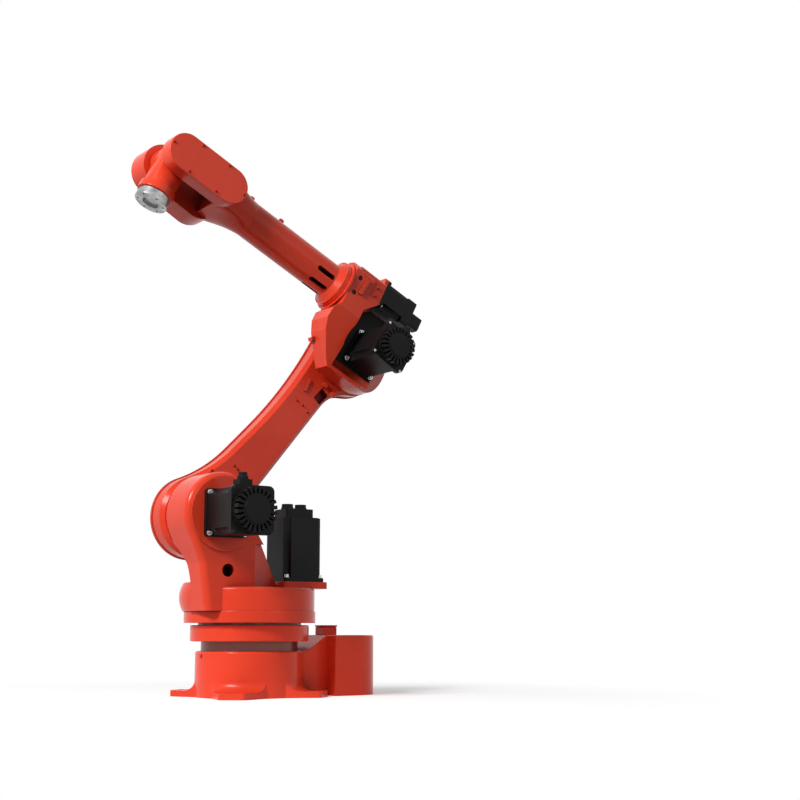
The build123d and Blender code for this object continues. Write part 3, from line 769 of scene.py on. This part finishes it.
@dataclass(frozen=True)
class GlandNut:
    """Ribbed nut round a plug's knob, sizes in millimetres.

    Args:
        radius: Radius between the ribs.
        height: Height of the ribbed part.
        rib: How far the ribs stand out.
        taper: Height of the tapered top.
        neck: How far the top tapers in.
        ribs: Number of ribs.
        rib_slope: How much narrower a rib is at its crest, on each side.
        shoulder: Width of the step under the taper.
        lip: Width of the lip round the top.
        crown: Height of the top over its lip.
    """

    radius: float
    height: float
    rib: float
    taper: float
    neck: float
    ribs: int = 14
    rib_slope: float = 0.35
    shoulder: float = 1.0
    lip: float = 1.2
    crown: float = 0.8

    def model(self, name: str) -> bpy.types.Object:
        """Models one nut that stands on the floor and points up.

        Args:
            name: Name of the piece.

        Returns:
            The nut.
        """
        turn = math.tau / (2 * self.ribs)
        work = Work.cylinder(name, 2 * self.ribs, self.radius * MM, self.height * MM)
        work.faces(
            lambda centre, normal: abs(normal.z) < FACING_SIDE
            and round((math.atan2(centre.y, centre.x) - turn / 2) / turn) % 2 == 0
        )
        bpy.ops.mesh.inset(
            use_individual=True, thickness=self.rib_slope * MM, depth=self.rib * MM
        )
        work.tops()
        bpy.ops.mesh.inset(thickness=self.shoulder * MM)
        work.raise_by(self.taper * MM)
        share = 1.0 - self.neck / self.radius
        bpy.ops.transform.resize(value=(share, share, 1.0), center_override=(0.0, 0.0, 0.0))
        bpy.ops.mesh.inset(thickness=self.lip * MM, depth=self.crown * MM)
        return work.close()


Shape = Screw | GlandNut


def square(centre: Vector, normal: Vector, across: Vector, half: float) -> list[Place]:
    """Finds the four corners of a square pattern.

    Args:
        centre: Middle of the pattern, in metres.
        normal: Direction that the pattern faces.
        across: Direction of one side.
        half: Half of the side in millimetres.

    Returns:
        The corners and the direction that they face.
    """
    other = normal.cross(across)
    signs = ((1, 1), (1, -1), (-1, 1), (-1, -1))
    return [(centre + (across * a + other * b) * half * MM, normal) for a, b in signs]


def ring(centre: Vector, normal: Vector, radius: float, count: int) -> list[Place]:
    """Finds the places of a round pattern that starts half a step round.

    Args:
        centre: Middle of the pattern, in metres.
        normal: Direction that the pattern faces.
        radius: Radius of the pattern in millimetres.
        count: Number of places.

    Returns:
        The places and the direction that they face.
    """
    turn = normal.to_track_quat("Z", "Y")
    places = []
    for index in range(count):
        angle = math.tau * (index + 0.5) / count
        spoke = turn @ Vector((math.cos(angle), math.sin(angle), 0.0))
        places.append((centre + spoke * radius * MM, normal))
    return places


FLANGE_SCREW = Screw(6.5, 8.0, 3.6, 4.0, 8.2, 1.4, 0.8)
COVER_SCREW = Screw(3.4, 2.6, 1.9, 1.6, 4.2, 0.6, 0.4, 16)
SMALL_SCREW = Screw(4.4, 4.0, 2.4, 2.2, 5.4, 0.8, 0.5, 18)
RING_SCREW = Screw(2.5, 0.9, 1.4, 0.8, 2.9, 0.3, 0.3, 14)
PLUG_NUT = GlandNut(14.4, 9.0, 1.4, 4.0, 1.6)
SOCKET_NUT = GlandNut(17.6, 6.0, 1.3, 3.0, 0.4, 16)

BRIGHT = ScrewMetal("bright_screws")
OILED = ScrewMetal(
    "oiled_screws",
    colour=(0.020, 0.020, 0.021, 1.0),
    patch=(0.011, 0.010, 0.010, 1.0),
    roughness=0.40,
    metallic=0.5,
)
PAINTED = GlossPaint("painted_small_parts", colour=(0.70, 0.028, 0.009, 1.0))
# Darker orange for the screws on the castings: painted shade of their sockets.
SHADED_SCREW_PAINT = GlossPaint(
    "screw_paint_with_painted_shade",
    colour=(0.58, 0.020, 0.007, 1.0),
    patch=(0.50, 0.016, 0.005, 1.0),
    edge_highlight=(0.62, 0.032, 0.014, 1.0),
)
NUT_BLACK = CastBlack("gland_black", Slot.PLUG, roughness=0.48, grain_depth=0.3 * MM)
# Black of the sheet that stands for the shade in the elbow casting's hollow.
HOLLOW_SHADE_BLACK = CastBlack("hollow_shade_black", roughness=0.55, gloss=0.1)


@dataclass
class CadNodes:
    """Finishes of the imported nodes.

    Args:
        layout: Joint centres and axes.
        neck_low: Lowest height of the base's bare neck, in millimetres.
        neck_high: Highest height of the base's bare neck, in millimetres.
        neck_radius: Radius within which the neck is bare, in millimetres.
    """

    layout: Layout
    neck_low: float = 130.2
    neck_high: float = 157.4
    neck_radius: float = 142.0

    def dress(self) -> None:
        """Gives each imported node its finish."""
        chosen = (
            GlossPaint("orange_gloss"),
            CastBlack("motor_cast_black"),
            CastBlack("fan_moulded_black", Slot.FAN, grain_depth=0.25 * MM, gloss=0.10),
            CastBlack("plug_moulded_black", Slot.PLUG, roughness=0.5, grain_depth=0.3 * MM),
            TurnedMetal(
                "bearing_dark_steel",
                colour=(0.085, 0.083, 0.080, 1.0),
                patch=(0.05, 0.048, 0.046, 1.0),
                roughness=0.37,
            ),
            TurnedMetal(
                "flange_turned_aluminium",
                Slot.FLANGE,
                centre=tuple(self.layout.flange),
                axis=tuple(self.layout.tool),
            ),
        )
        finishes = {finish.slot.value: finish for finish in chosen}
        bare = GlossPaint(
            "base_gloss",
            bare_low=self.neck_low * MM,
            bare_high=self.neck_high * MM,
            bare_radius=self.neck_radius * MM,
        )
        for part in frame["record"]["subparts"]:
            node = part["node"]
            finish = bare if node == "base_casting" else finishes[part["material_slot"]]
            mesh = frame["nodes"][node].data
            mesh.materials.clear()
            mesh.materials.append(finish.material())
            log.info("%s: %s", node, finish.name)


@dataclass
class Unit:
    """Base of the arm's sub-assemblies, with sizes in millimetres.

    Args:
        layout: Joint centres and axes.
        masters: Pieces that repeat, by the shape that each was modelled from.
    """

    layout: Layout
    masters: dict[Shape, bpy.types.Object]
    body: ClassVar[Body]

    def fit(self, piece: bpy.types.Object, finish: Finish) -> None:
        """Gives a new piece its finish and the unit's body.

        Args:
            piece: Piece that is modelled and in its place.
            finish: Finish of the piece.
        """
        piece.data.materials.clear()
        piece.data.materials.append(finish.material())
        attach(piece, self.body.value)
        log.info("%s: %s, on %s", piece.name, finish.name, self.body.value)

    def add(self, name: str, shape: Shape, finish: Finish, places: Sequence[Place]) -> None:
        """Copies a shape to its places and joins the copies to one piece.

        Args:
            name: Name of the piece.
            shape: Screw or nut to copy.
            finish: Finish of the piece.
            places: Seats and the directions that they face.
        """
        if shape not in self.masters:
            self.masters[shape] = shape.model(f"master_{len(self.masters)}")
        bpy.ops.object.select_all(action="DESELECT")
        copies = []
        for seat, normal in places:
            copy = bpy.data.objects.new(name, self.masters[shape].data.copy())
            turn = normal.to_track_quat("Z", "Y").to_matrix().to_4x4()
            copy.data.transform(Matrix.Translation(seat - normal * SINK) @ turn)
            bpy.context.scene.collection.objects.link(copy)
            copy.select_set(True)
            copies.append(copy)
        bpy.context.view_layer.objects.active = copies[0]
        if len(copies) > 1:
            bpy.ops.object.join()
        piece = bpy.context.view_layer.objects.active
        piece.name = name
        self.fit(piece, finish)


@dataclass(frozen=True)
class Servo:
    """Small parts of a motor with a fan cover and a plug, sizes in millimetres.

    Args:
        name: First word of its pieces' names.
        seat: Sideways place of the motor's seat.
        length: Length of the motor.
        bolt_half: Half of the pitch of the flange's screws.
        fan_half: Half of the pitch of the fan cover's screws.
        fan_finish: Finish of the fan cover's screws.
        plug_setback: Distance of the plug from the motor's end.
        plug_rise: Height of the plug's foot over the motor's axis.
        plug_back: Distance of the plug behind the motor's axis.
        flange: Thickness of the motor's flange.
        fan_base: Thickness of the fan cover's base.
    """

    name: str
    seat: float
    length: float
    bolt_half: float
    fan_half: float
    fan_finish: Finish
    plug_setback: float
    plug_rise: float
    plug_back: float = 0.0
    flange: float = 12.0
    fan_base: float = 16.0

    def build(self, unit: Unit, pivot: Vector, along: Vector, lift: Vector) -> None:
        """Adds the motor's screws and its gland nut.

        Args:
            unit: Unit that carries the motor.
            pivot: Point on the motor's axis in the arm's middle plane, in metres.
            along: Direction of the motor's frame.
            lift: Direction of the plug.
        """
        end = self.seat + self.length
        places = square(pivot + SIDE * (self.seat + self.flange) * MM, SIDE, along, self.bolt_half)
        unit.add(f"{self.name}_flange_screws", FLANGE_SCREW, BRIGHT, places)
        places = square(pivot + SIDE * (end + self.fan_base) * MM, SIDE, along, self.fan_half)
        unit.add(f"{self.name}_fan_screws", COVER_SCREW, self.fan_finish, places)
        plug = SIDE * (end - self.plug_setback) + lift * self.plug_rise - along * self.plug_back
        unit.add(f"{self.name}_gland_nut", PLUG_NUT, NUT_BLACK, [(pivot + plug * MM, lift)])


@dataclass
class BaseUnit(Unit):
    """Small parts of the base.

    Args:
        drum_radius: Radius of the drum.
        plug_height: Height of the drain plug.
        lid_thickness: Thickness of the lid on the cable box's cap.
        lid_lip: How far the lid stands over the cap's sides.
        lid_corner: Radius of the lid's corners.
        lid_slope: Width of the slope down to the lid's middle.
        lid_sink: Depth of the lid's middle.
    """

    body = Body.BASE
    drum_radius: float = 156.0
    plug_height: float = 117.0
    lid_thickness: float = 4.5
    lid_lip: float = 3.0
    lid_corner: float = 6.0
    lid_slope: float = 0.8
    lid_sink: float = 1.125

    def build(self) -> None:
        """Adds the drain plug and the cable box's lid."""
        plug = Vector((self.drum_radius, 0.0, self.plug_height)) * MM
        self.add("drain_plug", SMALL_SCREW, PAINTED, [(plug, FORWARD)])
        self.lid()

    def lid(self) -> None:
        """Models the lid on the cable box's cap, with a lip round a sunk middle."""
        cap_low, cap_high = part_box("cable_box_cap")
        thick = self.lid_thickness * MM
        lip = Vector((self.lid_lip, self.lid_lip, 0.0)) * MM
        foot = cap_high.z - SINK
        low = Vector((cap_low.x, cap_low.y, foot)) - lip
        high = Vector((cap_high.x, cap_high.y, foot + thick)) + lip
        work = Work.block("cable_cap_lid", low, high)
        work.edges(lambda a, b: abs(a.z - b.z) > thick / 2)
        bpy.ops.mesh.bevel(offset=self.lid_corner * MM, segments=4, affect="EDGES")
        work.tops()
        bpy.ops.mesh.inset(thickness=self.lid_lip * MM)
        bpy.ops.mesh.inset(thickness=self.lid_slope * MM, depth=-self.lid_sink * MM)
        self.fit(work.close(), PAINTED)


@dataclass
class ColumnUnit(Unit):
    """Small parts of the column's two motors.

    Args:
        servo: Shoulder motor.
        turn_motor: Axis of the turning motor, as X and Y.
        turn_face: Height of the turning motor's flange.
        socket_foot: Height of the turning motor's two sockets.
        socket_spread: Distance of each socket from the motor's axis.
    """

    body = Body.COLUMN
    servo: Servo = Servo("shoulder", 114.0, 137.0, 57.0, 60.0, OILED, 42.0, 88.0)
    turn_motor: Pair = (-140.0, 10.0)
    turn_face: float = 342.0
    socket_foot: float = 546.0
    socket_spread: float = 23.0

    def build(self) -> None:
        """Adds the screws and the nuts of both motors."""
        self.servo.build(self, self.layout.shoulder, FORWARD, UP)
        flange = Vector((*self.turn_motor, self.turn_face)) * MM
        places = square(flange, UP, FORWARD, self.servo.bolt_half)
        self.add("turn_flange_screws", FLANGE_SCREW, BRIGHT, places)
        cap = Vector((*self.turn_motor, self.socket_foot)) * MM
        step = FORWARD * self.socket_spread * MM
        self.add("turn_socket_nuts", SOCKET_NUT, NUT_BLACK, [(cap - step, UP), (cap + step, UP)])


@dataclass
class ArmUnit(Unit):
    """Small parts of the upper arm.

    Args:
        face: Sideways place of the arm's near face.
        cover_face: Sideways place of the end covers' outer faces.
        cover_ring: Radius of the covers' screw circle.
        cover_count: Number of a cover's screws.
        dots: Plugged holes on the near face, along and across the arm.
    """

    body = Body.UPPER_ARM
    face: float = -48.0
    cover_face: float = -121.0
    cover_ring: float = 79.0
    cover_count: int = 8
    dots: tuple[Pair, ...] = (
        (127.0, -70.0), (194.5, -31.0), (194.5, -16.0),
        (501.0, -34.0), (506.0, -11.0), (504.0, 15.0),
    )

    def build(self) -> None:
        """Adds the plugged holes and the end covers' screws."""
        shoulder, elbow, arm = self.layout.shoulder, self.layout.elbow, self.layout.arm
        places = [(beside(shoulder, arm, *dot, self.face), SIDE) for dot in self.dots]
        self.add("arm_face_screws", COVER_SCREW, SHADED_SCREW_PAINT, places)
        for name, pivot in (("shoulder", shoulder), ("elbow", elbow)):
            centre = pivot + SIDE * self.cover_face * MM
            places = ring(centre, -SIDE, self.cover_ring, self.cover_count)
            self.add(f"{name}_cover_screws", SMALL_SCREW, SHADED_SCREW_PAINT, places)


@dataclass
class ElbowUnit(Unit):
    """Small parts of the elbow's casting and motors.

    Args:
        servo: Elbow motor.
        motor_turn: Turn of the elbow motor about its axis, in degrees.
        offset: Distance from the elbow to the forearm's axis.
        roll_lift: Height of the roll motor over the forearm's axis.
        roll_face: Place of the roll motor's flange along the forearm.
        roll_half: Half of the pitch of the roll motor's screws.
        recesses: Gear housing's recesses, along, up from the forearm's axis and sideways.
        block_screws: Motor block's screws, in the same directions.
        plate_low: Lowest corner of the plate under the motor, along and up.
        plate_high: Highest corner of that plate, along and up.
        plate_thickness: Thickness of that plate.
        plate_bevel: Size of the bevel round that plate.
        plate_cuts: Points and outward directions of the plate's cut corners.
    """

    body = Body.ELBOW
    servo: Servo = Servo("elbow", 8.0, 155.0, 51.0, 54.0, BRIGHT, 21.0, 82.0, 26.0)
    motor_turn: float = 4.5
    offset: float = 145.0
    roll_lift: float = 60.0
    roll_face: float = 34.0
    roll_half: float = 40.5
    recesses: tuple[Triple, ...] = ((156.0, -21.0, 72.0), (156.0, 33.0, 72.0))
    block_screws: tuple[Triple, ...] = ((84.0, 14.0, 74.0), (84.0, 44.0, 74.0))
    plate_low: Pair = (-56.0, -68.0)
    plate_high: Pair = (98.5, 143.0)
    plate_thickness: float = 2.5
    plate_bevel: float = 0.875
    plate_cuts: tuple[tuple[Pair, Pair], ...] = (
        ((98.0, 90.0), (51.5, 41.0)),
        ((-38.0, 143.0), (-82.0, 60.0)),
    )

    def build(self) -> None:
        """Adds the screws and the gland nut of the casting and both motors, and the black sheet of painted shade
        under the elbow motor.
        """
        elbow, forearm = self.layout.elbow, self.layout.forearm
        turn = Matrix.Rotation(-math.radians(self.motor_turn), 3, SIDE)
        self.servo.build(self, elbow, turn @ forearm, turn @ self.layout.lift)
        roll = beside(elbow, forearm, self.roll_face, self.offset + self.roll_lift)
        places = square(roll, -forearm, SIDE, self.roll_half)
        self.add("roll_flange_screws", SMALL_SCREW, BRIGHT, places)
        rows = (
            ("housing_screws", OILED, self.recesses),
            ("block_screws", PAINTED, self.block_screws),
        )
        for name, finish, spots in rows:
            places = [
                (beside(elbow, forearm, along, self.offset + height, side), SIDE)
                for along, height, side in spots
            ]
            self.add(name, SMALL_SCREW, finish, places)
        # Black sheet as painted shade in the casting's hollow.
        self.plate()

    def plate(self) -> None:
        """Models a black sheet under the elbow motor, cut to the casting's hollow, that paints the shade in that
        hollow.
        """
        low = Vector((self.plate_low[0], -self.plate_high[1], 0.0)) * MM
        high = Vector((self.plate_high[0], -self.plate_low[1], self.plate_thickness)) * MM
        work = Work.block("elbow_hollow_shade_sheet", low, high)
        for spot, outward in self.plate_cuts:
            bpy.ops.mesh.select_all(action="SELECT")
            bpy.ops.mesh.bisect(
                plane_co=(spot[0] * MM, -spot[1] * MM, 0.0),
                plane_no=(outward[0], -outward[1], 0.0),
                use_fill=True,
                clear_outer=True,
            )
        work.edges(lambda a, b: min(a.z, b.z) > high.z - NEAR)
        bpy.ops.mesh.bevel(offset=self.plate_bevel * MM, segments=2, affect="EDGES")
        plate = work.close()
        columns = (self.layout.forearm, -self.layout.lift, SIDE)
        turn = Matrix(columns).transposed().to_4x4()
        seat = self.layout.elbow + SIDE * self.servo.seat * MM
        plate.data.transform(Matrix.Translation(seat) @ turn)
        self.fit(plate, HOLLOW_SHADE_BLACK)


@dataclass
class ForearmUnit(Unit):
    """Small parts of the forearm and its fork covers.

    Args:
        near_face: Sideways place of the near cover's face.
        near_places: Near cover's screws, along and up from the wrist.
        far_face: Sideways place of the far cover's face.
        far_places: Far cover's screws, along and up from the wrist.
        tab_reaches: Places of the two tabs along the forearm from its root.
        tab_top: Height of the tabs over the forearm's axis.
    """

    body = Body.FOREARM
    near_face: float = 105.0
    near_places: tuple[Pair, ...] = (
        (-26.0, -48.0), (-124.0, -48.0), (-124.0, 48.0),
        (-26.0, 48.0), (54.0, 0.0), (-205.0, 0.0),
    )
    far_face: float = -138.0
    far_places: tuple[Pair, ...] = (
        (-20.0, 60.0), (-120.0, 52.0), (-120.0, -68.0),
        (-20.0, -61.0), (61.0, 0.0), (-199.0, -8.0),
    )
    tab_reaches: Pair = (447.3, 564.8)
    tab_top: float = 70.0

    def build(self) -> None:
        """Adds the screws of the two fork covers and of the tabs."""
        forearm = self.layout.forearm
        covers = (
            ("near_fork_screws", self.near_places, self.near_face, SIDE),
            ("far_fork_screws", self.far_places, self.far_face, -SIDE),
        )
        for name, spots, face, normal in covers:
            places = [(beside(self.layout.wrist, forearm, *spot, face), normal) for spot in spots]
            self.add(name, COVER_SCREW, SHADED_SCREW_PAINT, places)
        places = [
            (beside(self.layout.root, forearm, reach, self.tab_top), self.layout.lift)
            for reach in self.tab_reaches
        ]
        self.add("tab_screws", COVER_SCREW, PAINTED, places)


@dataclass
class WristUnit(Unit):
    """Small parts of the wrist.

    Args:
        ring_start: Distance of the roll ring from the wrist axis.
        ring_circle: Radius of the roll ring's screw circle.
        count: Number of the roll ring's screws.
    """

    body = Body.WRIST
    ring_start: float = 100.0
    ring_circle: float = 51.2
    count: int = 8

    def build(self) -> None:
        """Adds the roll ring's screws."""
        axis = self.layout.tool
        centre = self.layout.wrist + axis * self.ring_start * MM
        places = ring(centre, -axis, self.ring_circle, self.count)
        self.add("wrist_ring_screws", RING_SCREW, SHADED_SCREW_PAINT, places)


@dataclass(frozen=True)
class Lamp:
    """Soft square lamp.

    Args:
        name: Name of the lamp.
        spot: Place of the lamp in metres.
        size: Side of the lamp in metres.
        level: Share of a white surface's full brightness that it gives at its target.
    """

    name: str
    spot: Triple
    size: float
    level: float

    def hang(self, target: Vector) -> None:
        """Hangs the lamp.

        Args:
            target: Point that the lamp faces, in metres.
        """
        ray = target - Vector(self.spot)
        data = bpy.data.lights.new(self.name, "AREA")
        data.shape = "SQUARE"
        data.size = self.size
        data.energy = self.level * math.pi**2 * ray.length_squared
        lamp = bpy.data.objects.new(self.name, data)
        lamp.location = self.spot
        lamp.rotation_euler = ray.to_track_quat("-Z", "Y").to_euler()
        bpy.context.scene.collection.objects.link(lamp)


@dataclass
class Studio:
    """Floor, light and camera.

    Args:
        location: Place of the camera in metres.
        yaw: Heading of the camera in degrees.
        pitch: Rise of the camera's view in degrees.
        focal_pixels: Focal length in the photograph's pixels.
        frame_pixels: Width of the photograph in pixels.
        lamps: Lamps of the studio.
        target: Point that the lamps face, in metres.
        ambient: Strength of the light from all round.
        floor_side: Side of the floor in metres.
        floor_grain: Noise of the floor's patches.
        floor_range: Values of that noise at which a patch begins and is full.
        floor_colour: Colour of the floor.
        floor_patch: Colour of its patches.
        floor_lift: How much the floor is brightened where it is seen.
        floor_fade: Distances over which the floor fades to white, in metres.
    """

    location: Triple = (2.1, 3.6373, 0.19)
    yaw: float = -125.989
    pitch: float = 9.232
    focal_pixels: float = 1415.0
    frame_pixels: float = 800.0
    lamps: tuple[Lamp, ...] = (
        Lamp("key", (3.6, 1.15, 3.3), 1.2, 1.0),
        Lamp("fill", (-1.6, 4.2, 2.2), 2.6, 0.06),
    )
    target: Triple = (0.0, 0.0, 0.8)
    ambient: float = 0.27
    floor_side: float = 24.0
    floor_grain: Noise = Noise(40.0, 3.0)
    floor_range: Pair = (0.3, 0.7)
    floor_colour: Colour = (0.90, 0.90, 0.90, 1.0)
    floor_patch: Colour = (0.93, 0.93, 0.93, 1.0)
    floor_lift: float = 0.30
    floor_fade: Pair = (0.5, 1.5)

    def camera(self) -> None:
        """Sets the camera at the photograph's viewing angle."""
        data = bpy.data.cameras.new("camera")
        data.lens = self.focal_pixels / self.frame_pixels * data.sensor_width
        rise, heading = math.radians(self.pitch), math.radians(self.yaw)
        level = Vector((math.cos(heading), math.sin(heading), 0.0))
        ahead = level * math.cos(rise) + UP * math.sin(rise)
        camera = bpy.data.objects.new("camera", data)
        camera.location = self.location
        camera.rotation_euler = ahead.to_track_quat("-Z", "Y").to_euler()
        bpy.context.scene.collection.objects.link(camera)
        bpy.context.scene.camera = camera

    def light(self) -> None:
        """Hangs the lamps and lights the surroundings."""
        for lamp in self.lamps:
            lamp.hang(Vector(self.target))
        world = bpy.data.worlds.new("studio")
        world.use_nodes = True
        bench = Bench(world.node_tree)
        strength = self.ambient + self.seen(bench) * (1.0 - self.ambient)
        sockets = {"Color": (1.0, 1.0, 1.0, 1.0), "Strength": strength}
        shade = bench.node("ShaderNodeBackground", None, sockets)
        bench.node("ShaderNodeOutputWorld", None, {"Surface": shade})
        bpy.context.scene.world = world

    @staticmethod
    def seen(bench: Bench) -> Flow:
        """Tells the rays that show the surroundings themselves.

        Args:
            bench: Bench of the floor's material or of the world.

        Returns:
            One for those rays, and zero for the rest.
        """
        kinds = ("Camera", "Glossy", "Transmission")
        rays = [bench.node("ShaderNodeLightPath", out=f"Is {kind} Ray") for kind in kinds]
        return (rays[0] + rays[1] + rays[2]).within(0.0, 0.9)

    def floor(self) -> None:
        """Lays the pale floor, which keeps the arm's shadow and fades to white."""
        bpy.ops.object.select_all(action="DESELECT")
        bpy.ops.mesh.primitive_plane_add(size=self.floor_side)
        floor = bpy.context.object
        floor.name = "floor"
        material = bpy.data.materials.new("pale_floor")
        material.use_nodes = True
        bench = Bench(material.node_tree)
        place = bench.place()
        seen = self.seen(bench)
        grain = bench.noise(place, self.floor_grain).within(*self.floor_range)
        tone = bench.blend(grain, self.floor_colour, self.floor_patch)
        matt = bench.node("ShaderNodeBsdfDiffuse", None, {"Color": tone})
        lift = bench.node("ShaderNodeEmission", None, {"Strength": seen * self.floor_lift})
        near = bench.node("ShaderNodeAddShader", None, {0: matt, 1: lift})
        white = bench.node("ShaderNodeEmission", None, {"Strength": seen})
        far = bench.radius(place).within(*self.floor_fade)
        mixed = bench.node("ShaderNodeMixShader", None, {0: far, 1: near, 2: white})
        bench.node("ShaderNodeOutputMaterial", None, {"Surface": mixed})
        floor.data.materials.append(material)

    def build(self) -> None:
        """Sets up the whole studio."""
        self.camera()
        self.light()
        self.floor()
        bpy.context.scene.view_settings.view_transform = "Standard"


def main() -> None:
    """Builds the arm's small parts, its finishes and the studio in order."""
    layout = Layout.from_joints(frame["joints"])
    masters: dict[Shape, bpy.types.Object] = {}
    Studio().build()
    CadNodes(layout).dress()
    for unit in (BaseUnit, ColumnUnit, ArmUnit, ElbowUnit, ForearmUnit, WristUnit):
        unit(layout, masters).build()
    for master in masters.values():
        bpy.data.objects.remove(master)


if __name__ == "__main__":
    main()
